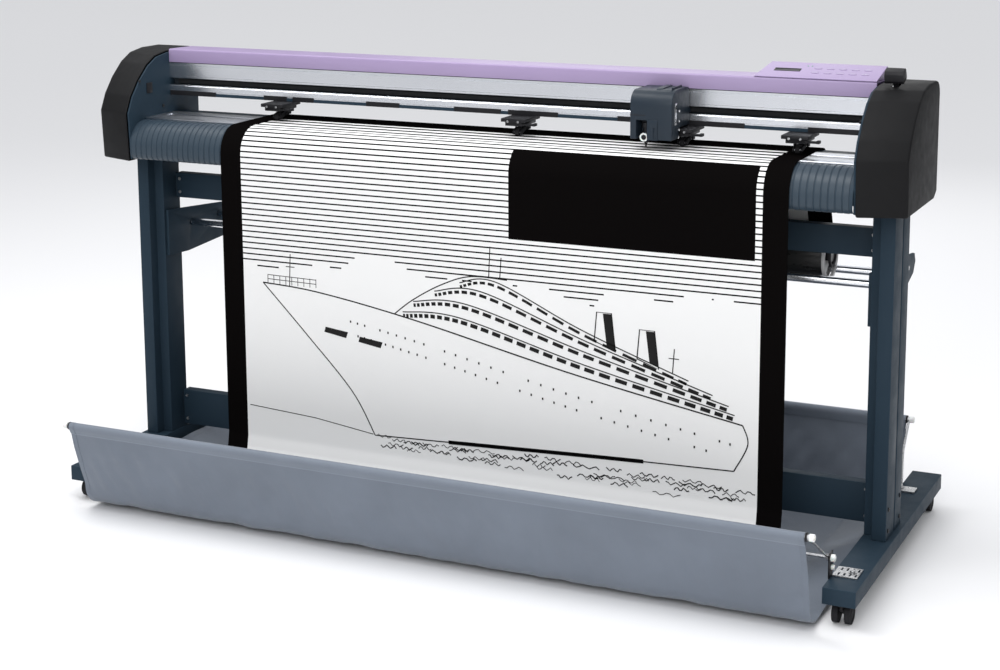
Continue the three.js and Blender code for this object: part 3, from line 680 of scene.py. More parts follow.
SLOT_PITCH = 0.013
KNOB_X, COLLAR_X = 0.9895, 0.9775
PLATE_FRONT, PLATE_REAR, PLATE_THICK = -0.309, -0.251, 0.0036
POST_FRONT, POST_REAR, POST_THICK = -0.331, -0.301, 0.0032
BOLT = (0.043, -0.279)
for side, sign in SIDES:
    for end, centre, body in (
        ("front", front_rod, "basket_front"),
        ("rear", rear_rod, "root"),
    ):
        place = (sign * KNOB_X, centre.y, centre.z)
        cap = knob(f"basket_{end}_knob_{side}", place, sign, 0.0085, 0.011)
        fit(cap, body)
        place = (sign * COLLAR_X, centre.y, centre.z)
        ring = drum(f"basket_{end}_collar_{side}", place, 0.0102, 0.004, sides=24)
        soften(ring, 0.0006, 2, 40)
        dress(ring, NYLON)
        fit(ring, body)
    for node in (f"basket_front_arm_{side}", f"basket_rear_arm_{side}"):
        dress(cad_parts[node], ZINC)

    low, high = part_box(f"basket_front_bracket_{side}")
    inner = low.x if sign > 0 else high.x
    outer = high.x if sign > 0 else low.x
    floor_z = low.z
    plate_low = (min(inner + sign * 0.004, outer), PLATE_FRONT, floor_z)
    plate_high = (max(inner + sign * 0.004, outer), PLATE_REAR, floor_z + PLATE_THICK)
    plate = block("plate", plate_low, plate_high)
    for k in range(4):
        x = inner + sign * (0.016 + SLOT_PITCH * k)
        for y in (-0.296, -0.265):
            cut_out(plate, (x - 0.002, y - 0.008, 0), (x + 0.002, y + 0.008, 0.2))
    upright_low = (min(inner, inner + sign * POST_THICK), POST_FRONT, floor_z)
    upright_high = (max(inner, inner + sign * POST_THICK), POST_REAR, high.z)
    upright = block("upright", upright_low, upright_high)
    soften(upright, 0.001, 2)
    soften(plate, 0.0005, 1)
    x, y = inner + sign * BOLT[0], BOLT[1]
    bolt = drum("bolt", (x, y, floor_z + 0.0062), 0.0068, 0.0055, "Z", 6)
    soften(bolt, 0.0006, 1)
    washer = drum("washer", (x, y, floor_z + 0.0042), 0.0092, 0.0014, "Z", 24)
    dress(upright, SCREW_BLACK)
    plated = dress(join("plated", plate, bolt, washer), ZINC)
    bracket = join(f"slotted_bracket_{side}", plated, upright)
    fit(bracket, "root", f"basket_front_bracket_{side}")
    place = (inner + sign * 0.0085, -0.319, 0.140)
    pivot = knob(f"arm_pivot_knob_{side}", place, sign, 0.0085, 0.009)
    fit(pivot, "root")
    place = (inner + sign * 0.0075, -0.316, 0.117)
    clip = drum(f"arm_clip_{side}", place, 0.0062, 0.0075, sides=20)
    soften(clip, 0.001, 2, 40)
    dress(clip, WHITE)
    fit(clip, "root")


# ---- Side panels ----
# Bent steel plates inside the end covers. They carry the beam, the rail and the feed roller, and
# the covers screw to them.
PANEL_FACE = 0.979
PANEL_SCREWS = ((-0.125, 1.098), (-0.152, 0.930), (0.118, 1.090), (0.118, 0.925), (-0.020, 1.020))
PAD = ((-0.094, 1.062), (-0.070, 1.090))
for side, sign in SIDES:
    panel = dress(rounded(f"side_plate_{side}", f"side_panel_{side}", 0.001), STEEL_BLUE)
    fit(panel, "root", f"side_panel_{side}")
    face = sign * PANEL_FACE
    screws = [screw((face, y, z), "X", -sign, 0.0045, 0.0022) for y, z in PANEL_SCREWS]
    bolts = dress(join(f"side_plate_screws_{side}", *screws), SCREW_BLACK)
    fit(bolts, "root")
    near, far = sorted((face, face - sign * 0.003))
    pad = block("pad", (near, *PAD[0]), (far, *PAD[1]))
    soften(pad, 0.001)
    dress(pad, NYLON).name = f"end_stop_pad_{side}"
    fit(pad, "root")


# ---- End covers ----
# Black fine-textured mouldings over the drive gear at each end, faceted like a gem and swept back
# at the front. Each is a thin shell, screwed to its side panel from inside.
COVER = grained(
    "textured_black_shell", (0.0085, 0.0085, 0.0092), 0.55, 0.0, (0.10, 9, 0.05, 1500, 0.0002),
    Specular_IOR_Level=0.12,
)

COVER_SIDE = [
    (-0.176, 0.888), (0.131, 0.888), (0.157, 0.903), (0.157, 1.118),
    *arc(0.125, 1.137, 0.032, 0, 90, 4),
    (0.011, 1.169), (-0.043, 1.161), (-0.085, 1.140), (-0.128, 1.103), (-0.162, 1.062),
    (-0.184, 1.018),
]
COVER_SWEEP = 0.038
COVER_INNER = 0.9843
COVER_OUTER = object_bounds()[1].x
LEVER_SLOT = ((1.015, 0.000, 1.155), (1.033, 0.062, 1.175))
COLUMN_CLEAR = 0.004


for side, sign in SIDES:
    shell = section(f"end_cover_{side}", COVER_SIDE, sign * COVER_INNER, sign * COVER_OUTER)
    for vertex in shell.data.vertices:
        if abs(vertex.co.x) > 1.05 and vertex.co.y < 0.021:
            vertex.co.y += COVER_SWEEP
    modify(shell, "BEVEL", width=0.005, segments=3, limit_method="ANGLE",
           angle_limit=math.radians(12))
    choose(shell, lambda c, n: n.x * sign < -0.9)
    bpy.ops.mesh.delete(type="FACE")
    bpy.ops.object.mode_set(mode="OBJECT")
    modify(shell, "SOLIDIFY", thickness=0.003, offset=-1)
    low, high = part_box(f"column_{side}")
    gap = COLUMN_CLEAR
    cut_out(shell, (low.x - gap, low.y - gap, 0.86), (high.x + gap, high.y + gap, 0.905))
    if side == "right":
        cut_out(shell, *LEVER_SLOT)
        for node in ("power_switch", "power_inlet"):
            low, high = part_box(node)
            gap = 0.001 if node == "power_switch" else -0.003
            cut_out(shell, (low.x - gap, 0.140, low.z - gap), (high.x + gap, 0.170, high.z + gap))
    smooth(shell, 30)
    dress(shell, COVER)
    fit(shell, "root", f"{side}_cover")


# ---- Box beam and front paper guide ----
# The painted box beam carries the platen and turns the paper up behind it. In front, a moulded
# guide with shallow upright grooves lets the sheet roll over the edge without sticking.
dress(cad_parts["body_beam"], STEEL_BLUE)
dress(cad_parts["feed_motor"], NYLON)

GUIDE_BLUE = grained(
    "dark_blue_guide", (0.026, 0.043, 0.061), 0.40, 0.0, (0.12, 8, 0.05, 1000, 0.00015),
    Specular_IOR_Level=0.35,
)
# the grooves get a darker copy of the guide's blue, as painted shade in the recesses
GROOVE_SHADE_BLUE = grained(
    "guide_groove_shade", (0.0235, 0.039, 0.056), 0.5, 0.0, (0.15, 30, 0.06, 1000, 0.00015),
    Specular_IOR_Level=0.2,
)

low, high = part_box("front_guide")
GUIDE_R = 0.066
guide_path = [
    (high.y - 0.0002, high.z),
    *arc(low.y + GUIDE_R, high.z - GUIDE_R, GUIDE_R, 90, 180, 14),
    *arc(low.y + 0.018, low.z + 0.018, 0.018, 180, 262, 5),
]


def offset_path(path, distance):
    """The path moved to its left by a distance."""
    moved = []
    for i, (y, z) in enumerate(path):
        y0, z0 = path[max(i - 1, 0)]
        y1, z1 = path[min(i + 1, len(path) - 1)]
        run = math.hypot(y1 - y0, z1 - z0)
        moved.append((y - (z1 - z0) / run * distance, z + (y1 - y0) / run * distance))
    return moved


GROOVE_DEPTH = 0.0009
PITCH = 0.0165
GROOVE = 0.0035
back = offset_path(guide_path, 0.0024)
bed = offset_path(guide_path, GROOVE_DEPTH)
base = section("guide_base", bed + back[::-1], low.x, high.x)
dress(base, GROOVE_SHADE_BLUE)
count = int((high.x - low.x) / PITCH)
start = -count * PITCH / 2
under = offset_path(guide_path, GROOVE_DEPTH + 0.0004)
land = section("guide_land", guide_path + under[::-1], start, start + PITCH - GROOVE)
soften(land, 0.0004, 1)
dress(land, GUIDE_BLUE)
modify(land, "ARRAY", count=count, use_relative_offset=False, use_constant_offset=True,
       constant_offset_displace=(PITCH, 0, 0))
guide = join("ribbed_paper_guide", base, land)
smooth(guide, 30)
fit(guide, "root", "front_guide")


# ---- Platen ----
# Extruded aluminium, satin anodised, in two strips either side of the feed roller's slot, with a
# row of small ribs on the front strip that keep the sheet from clinging.
def drawn_aluminium(name, colour, rough):
    """Fine lines along X, as a die leaves them."""
    finish = new_finish(name, colour, rough, 1.0)
    surface(finish, in_place(finish, (0.012, 1, 1)), 0.03, 24, 0.01, 700, 0.000003)
    return finish


SATIN = drawn_aluminium("satin_anodised", (0.74, 0.76, 0.80), 0.30)
low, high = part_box("platen")
SLOT_FRONT, SLOT_REAR, SLOT_END = -0.031, -0.007, 0.960
strips = []
for y0, y1 in ((low.y, SLOT_FRONT), (SLOT_REAR, high.y)):
    strip = block("strip", (low.x, y0, low.z), (high.x, y1, high.z))
    soften(strip, 0.0006, 2)
    strips.append(strip)
for x0, x1 in ((low.x, -SLOT_END), (SLOT_END, high.x)):
    near, far = (x0, SLOT_FRONT - 0.0005, low.z), (x1, SLOT_REAR + 0.0005, high.z - 1e-4)
    strips.append(block("bridge", near, far))
for y in (low.y + 0.024, low.y + 0.046):
    line = block("line", (low.x, y, high.z - 0.0004), (high.x, y + 0.002, high.z + 0.00012))
    strips.append(line)
bed_plate = dress(join("platen_strips", *strips), SATIN)
fit(bed_plate, "root", "platen")


# ---- Feed roller ----
# A ground steel shaft with four grit-coated bands, one below each pinch wheel.
low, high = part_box("feed_roller")
axis_y, axis_z = (low.y + high.y) / 2, (low.z + high.z) / 2
radius = (high.z - low.z) / 2
BRIGHT = grained(
    "bright_steel", (0.66, 0.67, 0.69), 0.24, 1.0, (0.08, 30, 0.06, 900, 0.00008),
    stretch=(3, 1, 1),
)
GRIT = grained("grit_band", (0.20, 0.20, 0.21), 0.8, 0.3, (0.5, 900, 0.1, 1600, 0.0006))
pinch_centres = []
for number in range(1, 5):
    wheel_low, wheel_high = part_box(f"pinch_wheel_{number}")
    pinch_centres.append((wheel_low.x + wheel_high.x) / 2)
SHAFT_LONG, BAND_WIDE = 1.912, 0.090
shaft = drum("shaft", (0, axis_y, axis_z), radius - 0.0015, SHAFT_LONG, sides=40)
soften(shaft, 0.0008, 2, 40)
dress(shaft, BRIGHT)
journal = dress(drum("journal", (0, axis_y, axis_z), 0.006, high.x - low.x, sides=24), BRIGHT)
bands = [shaft, journal]
for x in pinch_centres:
    band = drum("band", (x, axis_y, axis_z), radius - 1e-4, BAND_WIDE, sides=40)
    soften(band, 0.0006, 1, 40)
    bands.append(dress(band, GRIT))
roller = join("feed_shaft", *bands)
smooth(roller)
fit(roller, "feed_roller", "feed_roller")


# ---- Cross rail ----
# One aluminium extrusion across the machine, with a deep slot in its face where the toothed belt
# runs. A black steel strip along its lower edge marks where the pinch rollers may stand.
BRUSHED = drawn_aluminium("drawn_aluminium", (0.80, 0.82, 0.86), 0.26)
low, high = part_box("cross_rail")
f, r, b, t = low.y, high.y, low.z, high.z
SLOT_LOW, SLOT_HIGH, SLOT_DEEP = 1.074, 1.093, 0.022
rail_outline = [
    (r, b), (r, t), (f, t), (f, t - 0.0050), (f + 0.0008, t - 0.0056),
    (f + 0.0008, t - 0.0072), (f, t - 0.0078), (f, SLOT_HIGH + 0.0060),
    (f + 0.0010, SLOT_HIGH + 0.0050), (f + 0.0010, SLOT_HIGH), (f + SLOT_DEEP, SLOT_HIGH),
    (f + SLOT_DEEP, SLOT_LOW), (f + 0.0010, SLOT_LOW), (f + 0.0010, SLOT_LOW - 0.0020),
    (f, SLOT_LOW - 0.0030), (f, b + 0.0120), (f + 0.0012, b + 0.0112), (f + 0.0012, b),
]
rail = section("rail_extrusion", rail_outline, low.x, high.x)
soften(rail, 0.0003, 1, 60)
dress(rail, BRUSHED)
# the belt slot's faces are painted dark as the shade in the recess
slot_painted_shade = grained(
    "shadowed_slot", (0.026, 0.034, 0.043), 0.6, 0.0, (0.1, 40, 0.06, 900, 0.0001),
    stretch=(0.02, 1, 1), Specular_IOR_Level=0.2,
)
rail.data.materials.append(slot_painted_shade)
for face in rail.data.polygons:
    y, z = face.center.y, face.center.z
    if f + 0.0012 < y < f + SLOT_DEEP + 0.001 and SLOT_LOW - 1e-4 < z < SLOT_HIGH + 1e-4:
        face.material_index = 1
fit(rail, "root", "cross_rail")

edge_strip = block("lower_edge_strip", (low.x, f, b), (high.x, f + 0.0012, b + 0.0085))
soften(edge_strip, 0.0003, 1)
dress(edge_strip, STEEL_BLUE)
fit(edge_strip, "root")

MARKS = (
    (-0.978, -0.831), (-0.679, -0.607), (-0.589, -0.524), (-0.366, -0.268), (-0.110, 0.022),
    (0.042, 0.179), (0.338, 0.506), (0.519, 0.663), (0.818, 0.945),
)
plates = []
for x0, x1 in MARKS:
    plate = block("mark", (x0, f - 0.0009, b - 0.0002), (x1, f + 0.0004, b + 0.0125))
    soften(plate, 0.0004, 1)
    plates.append(plate)
marks = dress(join("position_plates", *plates), NYLON)
fit(marks, "root")

BELT = new_finish("toothed_belt", (0.014, 0.015, 0.017), 0.7, 0.0, Specular_IOR_Level=0.2)
tooth_coords = add(BELT, "SeparateXYZ", {0: in_place(BELT)})
surface(BELT, in_place(BELT), 0.15, 60, 0.1, 900, 0.0002)
teeth = calc(BELT, "SINE", calc(BELT, "MULTIPLY", tooth_coords.outputs[0], math.tau / 0.003))
ridges = add(BELT, "Bump", {"Height": teeth, "Distance": 0.0006, "Strength": 0.8})
feed(BELT, "Normal", ridges.outputs[0])
dress(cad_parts["carriage_belt"], BELT)


# ---- Top cover ----
# A thin lilac moulding clipped over the rail: an upright front face, a near-flat top and a
# rounded corner down the back. A black strip along its lower front edge is painted shade in the
# joint.
LILAC = grained(
    "satin_lilac", (0.330, 0.258, 0.425), 0.42, 0.0, (0.03, 3, 0.04, 1300, 0.00012),
    Specular_IOR_Level=0.4,
)
low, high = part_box("top_cover")
top_path = [
    (0.015, 1.135),
    *arc(0.020, 1.167, 0.005, 180, 90, 6),
    *arc(0.125, 1.155, 0.014, 90, 0, 6),
    (0.139, 1.062),
]
inside = offset_path(top_path, -0.0025)
lid = section("lilac_top_cover", top_path + inside[::-1], low.x, high.x)
soften(lid, 0.0006, 2, 50)
dress(lid, LILAC)
fit(lid, "root", "top_cover")
# a black strip painted as the shade in the joint under the cover's front edge
JOINT_SHADE = ((0.0146, 1.1347), (0.0175, 1.1362))
joint_shade_strip = block("cover_joint_shade", (low.x, *JOINT_SHADE[0]), (high.x, *JOINT_SHADE[1]))
dress(joint_shade_strip, NYLON)
fit(joint_shade_strip, "root")


# ---- Control panel ----
# A sloping lilac pod over the top cover's right end: a small display behind a dark window, two
# rows of membrane keys under one film, and a pair of lamps.
low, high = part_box("control_panel")
LIP = (low.y, 1.175)
SEAT = 1.1724
BACK = 0.009
LEFT_LEAN = 0.014
pod_outline = [
    (low.y, SEAT), (low.y + 0.006, SEAT), (high.y, SEAT - 0.0029), (high.y, high.z - 0.006),
    (high.y - BACK, high.z), LIP,
]
pod = section("operation_panel", pod_outline, low.x, high.x)
for vertex in pod.data.vertices:
    if vertex.co.x < low.x + 0.001 and vertex.co.z > LIP[1] + 0.001:
        vertex.co.x += LEFT_LEAN
soften(pod, 0.0012, 3, 25)
dress(pod, LILAC)
fit(pod, "root", "control_panel")

WINDOW = grained(
    "display_window", (0.008, 0.009, 0.011), 0.35, 0.0, (0.1, 20, 0.02, 900, 0.00002),
    Specular_IOR_Level=0.15,
)
KEY = grained("membrane_key", (0.29, 0.228, 0.385), 0.32, 0.0, (0.04, 40, 0.05, 1100, 0.00012))
LAMP = grained("green_lamp", (0.05, 0.35, 0.12), 0.2, 0.0, (0.1, 60, 0.04, 900, 0.00002))
slope = math.atan2(high.z - LIP[1], high.y - BACK - LIP[0])
WINDOW_PLACE = (0.752, 0.050)
KEY_ROWS = (0.036, 0.066)
FIRST_KEY, KEY_PITCH = 0.822, 0.030
LAMPS_AT, LAMPS_UP = (0.804, 0.794), 0.080


def on_slope(piece, x, up):
    """Moves a piece drawn flat at the origin to a place on the pod's sloping face."""
    y = LIP[0] + up * math.cos(slope)
    z = LIP[1] + up * math.sin(slope)
    piece.data.transform(Matrix.Translation((x, y, z)) @ Matrix.Rotation(slope, 4, "X"))
    return piece


window = block("display_window", (-0.032, -0.010, -0.001), (0.032, 0.010, 0.0006))
press(window, lambda c, n: n.z > 0.9, 0.0022, 0.0005)
soften(window, 0.0004, 2)
dress(on_slope(window, *WINDOW_PLACE), WINDOW)
fit(window, "root")
keys = []
for up in KEY_ROWS:
    for column in range(5):
        key = drum("key", (0, 0, 0.0002), 0.0065, 0.0012, "Z", 24)
        key.data.transform(Matrix.Diagonal((1.5, 0.8, 1, 1)))
        soften(key, 0.0004, 2, 45)
        keys.append(on_slope(key, FIRST_KEY + KEY_PITCH * column, up))
pad = dress(join("membrane_keys", *keys), KEY)
fit(pad, "root")
lamps = []
for x in LAMPS_AT:
    lamp = drum("lamp", (0, 0, 0.0002), 0.0018, 0.0010, "Z", 16)
    soften(lamp, 0.0003, 1, 45)
    lamps.append(on_slope(lamp, x, LAMPS_UP))
lamps = dress(join("status_lamps", *lamps), LAMP)
fit(lamps, "root")


# ---- Carriage ----
# A dark moulded housing that runs along the rail on the belt, rounded at the top and stepped up
# on its right. A pocket below its left side holds the cutter.
SHELL_BLUE = grained(
    "dark_blue_moulding", (0.0145, 0.023, 0.034), 0.42, 0.0, (0.10, 20, 0.06, 1400, 0.00012),
    Specular_IOR_Level=0.25,
)
low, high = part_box("carriage")
carriage = rounded("carriage_housing", "carriage", 0.0018, 3)
dress(carriage, SHELL_BLUE)
fit(carriage, "carriage", "carriage")
front, left, right = low.y, low.x, high.x
NOSE_R = 0.034


def step(name, x0, x1, foremost, nose, rear, bottom, top):
    """A raised band over the housing, with the housing's own rounded front."""
    outline = [(foremost, bottom), (rear, bottom), (rear, top)]
    made = section(name, outline + arc(nose, top - NOSE_R, NOSE_R, 90, 180, 8), x0, x1)
    soften(made, 0.0012, 2)
    return made


side_step = step("step", right - 0.040, right - 0.001, front + 0.006, front + NOSE_R + 0.006,
                 high.y - 0.030, 1.060, high.z + 0.002)
fin = block("fin", (right - 0.012, front + 0.030, high.z - 0.002),
            (right - 0.009, high.y - 0.040, high.z + 0.007))
soften(fin, 0.0006, 2)
spine = block("spine", (left + 0.043, front - 0.0012, 1.024), (left + 0.070, front + 0.020, 1.0735))
press(spine, lambda c, n: n.y < -0.9, 0.0012, -0.0008)
cut_out(spine, (left + 0.059, front - 0.010, 1.027), (left + 0.067, front + 0.004, 1.054))
soften(spine, 0.0008, 2)
high_step = step("high_step", left + 0.054, left + 0.070, front + 0.020, front + 0.048,
                 high.y - 0.034, 1.100, high.z + 0.005)
trim = dress(join("carriage_trim", side_step, fin, spine, high_step), SHELL_BLUE)
fit(trim, "carriage")
metal = [screw((right, front + 0.050, z), "X", 1, 0.0035, 0.0018) for z in (1.045, 1.066, 1.090)]
strip = block("strip", (right - 0.0005, front + 0.020, 1.060),
              (right + 0.0012, front + 0.032, 1.112))
soften(strip, 0.0004, 1)
metal = dress(join("carriage_fixings", *metal, strip), BRIGHT)
fit(metal, "carriage")
seam = block("carriage_seam", (left - 0.0002, front - 0.0003, 1.0822),
             (left + 0.038, front + 0.004, 1.0838))
dress(seam, NYLON)
fit(seam, "carriage")

# the cutter: a turned black holder, and a white ring on its front that sets the blade's depth
low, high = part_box("cutter_holder")
x = (low.x + high.x) / 2
dress(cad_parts["cutter_holder"], NYLON)
RING_Z = 1.029
ring = drum("ring", (x, low.y - 0.002, RING_Z), 0.0102, 0.005, "Y", 36)
press(ring, lambda c, n: n.y < -0.9, 0.0036, 0.0022)
soften(ring, 0.0005, 2, 40)
dress(ring, WHITE)
hub = drum("hub", (x, low.y - 0.0028, RING_Z), 0.0058, 0.004, "Y", 24)
soften(hub, 0.0006, 2, 40)
collar = join("depth_ring", ring, dress(hub, NYLON))
fit(collar, "cutter")


# ---- Pinch rollers ----
# Four spring-loaded rubber wheels on moulded arms. Each unit slides along the rail's underside by
# hand, and is placed over one of the grit bands.
RUBBER = grained(
    "pinch_rubber", (0.018, 0.018, 0.020), 0.8, 0.0, (0.15, 90, 0.08, 1200, 0.0002),
    Specular_IOR_Level=0.2,
)
COIL_LOW, COIL_PITCH = 1.0235, 0.0016
TYRE_R, TYRE_WIDE = 0.009, 0.012
for number in range(1, 5):
    slider = rounded(f"pinch_body_{number}", f"pinch_slider_{number}", 0.0012)
    dress(slider, NYLON)
    fit(slider, f"pinch_unit_{number}", f"pinch_slider_{number}")
    low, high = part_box(f"pinch_slider_{number}")
    x = pinch_centres[number - 1]
    coil = drum("coil", (x, low.y + 0.028, COIL_LOW + 0.005), 0.0042, 0.010, "Z", 20)
    for k in range(5):
        slice_at(coil, (0, 0, COIL_LOW + 0.001 + COIL_PITCH * k), (0, 0, 1))
    choose(coil, lambda c, n: abs(n.z) < 0.1 and int((c.z - COIL_LOW) / COIL_PITCH) % 2)
    bpy.ops.mesh.inset(thickness=0.0002, depth=-0.0007)
    bpy.ops.object.mode_set(mode="OBJECT")
    smooth(coil, 40)
    screws = [screw((x + dx, low.y, 1.0385), "Y", -1, 0.003, 0.0016) for dx in (-0.014, 0.014)]
    metal = dress(join(f"pinch_spring_{number}", coil, *screws), ZINC)
    fit(metal, f"pinch_unit_{number}")
    arm = dress(rounded(f"pinch_fork_{number}", f"pinch_arm_{number}", 0.0006), NYLON)
    fit(arm, f"pinch_lift_{number}", f"pinch_arm_{number}")
    low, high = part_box(f"pinch_wheel_{number}")
    middle = (low + high) / 2
    tyre = drum("tyre", middle, TYRE_R, TYRE_WIDE, sides=40)
    press(tyre, lambda c, n: abs(n.x) > 0.9, 0.003, 0.0008)
    soften(tyre, 0.0009, 3, 40)
    pin = dress(drum("pin", middle, 0.003, high.x - low.x, sides=20), BRIGHT)
    tyre = join(f"pinch_tyre_{number}", dress(tyre, RUBBER), pin)
    smooth(tyre)
    fit(tyre, f"pinch_tyre_{number}", f"pinch_wheel_{number}")


# ---- Clamp lever ----
# A black moulded lever through the right cover. Pulled forward, it lifts the pinch rollers.
lever = dress(rounded("clamp_handle", "clamp_lever", 0.002, 3), NYLON)
fit(lever, "clamp_lever", "clamp_lever")


# ---- Power inlet and switch ----
# A three-pin inlet and a rocker switch in the right cover's rear wall, each in a moulded bezel.
for node in ("power_inlet", "power_switch"):
    dress(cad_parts[node], NYLON)
low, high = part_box("power_inlet")
screws = [
    screw((x, high.y, (low.z + high.z) / 2), "Y", 1, 0.0028, 0.0010)
    for x in (low.x - 0.006, high.x + 0.006)
]
for head in screws:
    head.data.transform(Matrix.Translation((0, -0.0013, 0)))
bolts = dress(join("inlet_screws", *screws), SCREW_BLACK)
fit(bolts, "root")


# ---- Roll holder ----
# Steel arms bolted to the columns carry two aluminium roller bars. The media roll lies on them
# between two spoked flanges that keep it square.
ARM_BOLTS = ((0.13, 0.62), (0.13, 0.70), (0.36, 0.665))
for side, sign in SIDES:
    arm = dress(rounded(f"roll_bracket_{side}", f"roll_arm_{side}", 0.0012), STEEL_BLUE)
    fit(arm, "root", f"roll_arm_{side}")
    low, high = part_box(f"roll_arm_{side}")
    outer = high.x if sign > 0 else low.x
    screws = [screw((outer, y, z), "X", sign, 0.006, 0.003) for y, z in ARM_BOLTS]
    bolts = dress(join(f"roll_bracket_bolts_{side}", *screws), ZINC)
    fit(bolts, "root")

TUBE = drawn_aluminium("roller_tube", (0.72, 0.74, 0.77), 0.22)
TUBE_R = 0.015
for end in ("front", "rear"):
    low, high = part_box(f"roll_bar_{end}")
    middle = (low + high) / 2
    tube = drum("tube", middle, TUBE_R, high.x - low.x - 0.009, sides=48)
    press(tube, lambda c, n: abs(n.x) > 0.9, 0.0025, 0.004)
    soften(tube, 0.0008, 2, 40)
    journal = drum("journal", middle, 0.009, high.x - low.x, sides=24)
    bar = dress(join(f"roller_tube_{end}", tube, journal), TUBE)
    smooth(bar)
    fit(bar, f"roll_bar_{end}", f"roll_bar_{end}")

low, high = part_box("media_roll")
roll_axis = (low + high) / 2
FLANGE = (high.z - low.z) / 2
ROLL_R = 0.058
WINDOWS = 3
VINYL_BLACK = grained(
    "wound_black_vinyl", (0.009, 0.009, 0.009), 0.30, 0.0, (0.15, 12, 0.06, 500, 0.0001),
    stretch=(0.3, 1, 1), Specular_IOR_Level=0.3,
)
FLANGE_GREY = grained(
    "light_grey_flange", (0.50, 0.50, 0.50), 0.4, 0.0, (0.05, 30, 0.05, 1200, 0.00012),
)
wound = drum("wound", roll_axis, ROLL_R, high.x - low.x - 0.030, sides=96)
soften(wound, 0.0008, 2, 40)
dress(wound, VINYL_BLACK)
media = [wound]
for sign, edge in ((1, high.x), (-1, low.x)):
    face = edge - sign * 0.010
    ring = drum("ring", (face, roll_axis.y, roll_axis.z), FLANGE - 2e-4, 0.0078, sides=96)
    centre = (roll_axis.y, roll_axis.z)
    for turn in range(WINDOWS):
        start = math.radians(90 + 360 / WINDOWS * turn)
        window = [
            (centre[0] + q * math.cos(start + a), centre[1] + q * math.sin(start + a))
            for q, a in (
                (0.026, 0.30), (0.045, 0.16), (0.057, 0.16), (0.058, 0.6), (0.058, 1.05),
                (0.058, 1.5), (0.057, 1.93), (0.045, 1.93), (0.026, 1.80),
            )
        ]
        tool = section("tool", window, face - 0.02, face + 0.02)
        modify(ring, "BOOLEAN", operation="DIFFERENCE", object=tool, solver="EXACT")
        bpy.data.objects.remove(tool)
    soften(ring, 0.0012, 2, 40)
    media.append(dress(ring, FLANGE_GREY))
    hub = drum("hub", (edge - sign * 0.008, roll_axis.y, roll_axis.z), 0.0315, 0.0155, sides=48)
    press(hub, lambda c, n: n.x * sign > 0.9, 0.008, 0.006)
    soften(hub, 0.001, 2, 40)
    media.append(dress(hub, NYLON))
roll = join("media_roll_and_flanges", *media)
smooth(roll)
fit(roll, "media_roll", "media_roll")


# ---- Loaded sheet ----
# White vinyl on its liner, pulled off the roll, up behind the beam, over the platen and down into
# the basket. It is printed: a black border, ruled sky lines, a plain black panel and a ship.
low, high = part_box("loaded_sheet")
guide_low, guide_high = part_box("front_guide")
bend_y, bend_z = guide_low.y + GUIDE_R, guide_high.z - GUIDE_R
OVER = 0.0043
REAR_GUIDE = (0.093, 0.9573, 0.0415)
bend = GUIDE_R + OVER
sheet_path = [
    *arc(roll_axis.y, roll_axis.z, ROLL_R + 0.0008, 4, 14, 2),
    *arc(*REAR_GUIDE, 8, 90, 10),
    *arc(bend_y, bend_z, bend, 90, 180, 16),
    (bend_y - bend, 0.178), (bend_y - bend - 0.006, 0.146), (low.y + 0.0006, low.z + 0.0004),
]
sheet_points = evenly(sheet_path, 0.006)
bend_end = next(d for y, z, d in sheet_points if y < bend_y and z <= bend_z + 0.003)


def hang(x, distance, place):
    """A very slight wave across the hanging part."""
    fall = min(max((bend_z - place.z) / 0.3, 0), 1) if place.y < bend_y else 0
    wave = noise.noise(Vector((x * 2.1, place.z * 1.4, 6.0))) * 0.0010 * fall
    return place + Vector((0, abs(wave), 0))


media_sheet = curtain("loaded_media", sheet_points, low.x, high.x, 60, hang)
modify(media_sheet, "SOLIDIFY", thickness=0.0004, offset=0)
smooth(media_sheet, 60)

PRINT = new_finish("printed_vinyl", (0.77, 0.77, 0.765), 0.40, 0.0, Specular_IOR_Level=0.0)
sheet_uv = add(PRINT, "UVMap", uv_map="cloth").outputs[0]
film_tone, _ = surface(PRINT, sheet_uv, 0.012, 2, 0.04, 300, 0.00008)
parts = add(PRINT, "SeparateXYZ", {0: sheet_uv})
across, along = parts.outputs[0], calc(PRINT, "SUBTRACT", parts.outputs[1], bend_end)


def mask(operation, *values):
    return calc(PRINT, operation, *values)


def between(value, start, end):
    above = mask("GREATER_THAN", value, start)
    return mask("MULTIPLY", above, mask("LESS_THAN", value, end))


SHEET_WIDE = high.x - low.x
BORDER = 0.061
RULE_PITCH = 0.0149
RULE = (0.48, 0.25)
BEND_START = 0.110
SHADE_BAND = (-0.42, -0.235)
PANEL = ((0.824, 1.447), (-0.070, 0.155))
CLOUD_WIDE, CLOUD_TALL = 3.4, 0.055
SKY_END = 0.42
inside = between(across, BORDER, SHEET_WIDE - BORDER)
border = mask("SUBTRACT", 1.0, inside)
# a black band from the pinch line back under the rail: painted shade where the rail shades the
# sheet
rail_shade_band = between(along, *SHADE_BAND)
row = mask("FLOOR", mask("DIVIDE", along, RULE_PITCH))
weight = add(PRINT, "MapRange", {0: along, 1: SHADE_BAND[1], 2: 0.0, 3: RULE[0], 4: RULE[1]}).outputs[0]
flat_part = mask("MINIMUM", mask("ADD", along, BEND_START), 0.0)
spread = mask("MULTIPLY_ADD", flat_part, 0.36, mask("MAXIMUM", along, -BEND_START))
ruled = mask("LESS_THAN", mask("FRACT", mask("DIVIDE", spread, RULE_PITCH)), weight)
cloud = add(
    PRINT,
    "CombineXYZ",
    {0: mask("MULTIPLY", across, CLOUD_WIDE), 1: mask("MULTIPLY", row, CLOUD_TALL)},
)
billow = add(PRINT, "TexNoise", {"Vector": cloud.outputs[0], "Scale": 1.0, "Detail": 2.5})
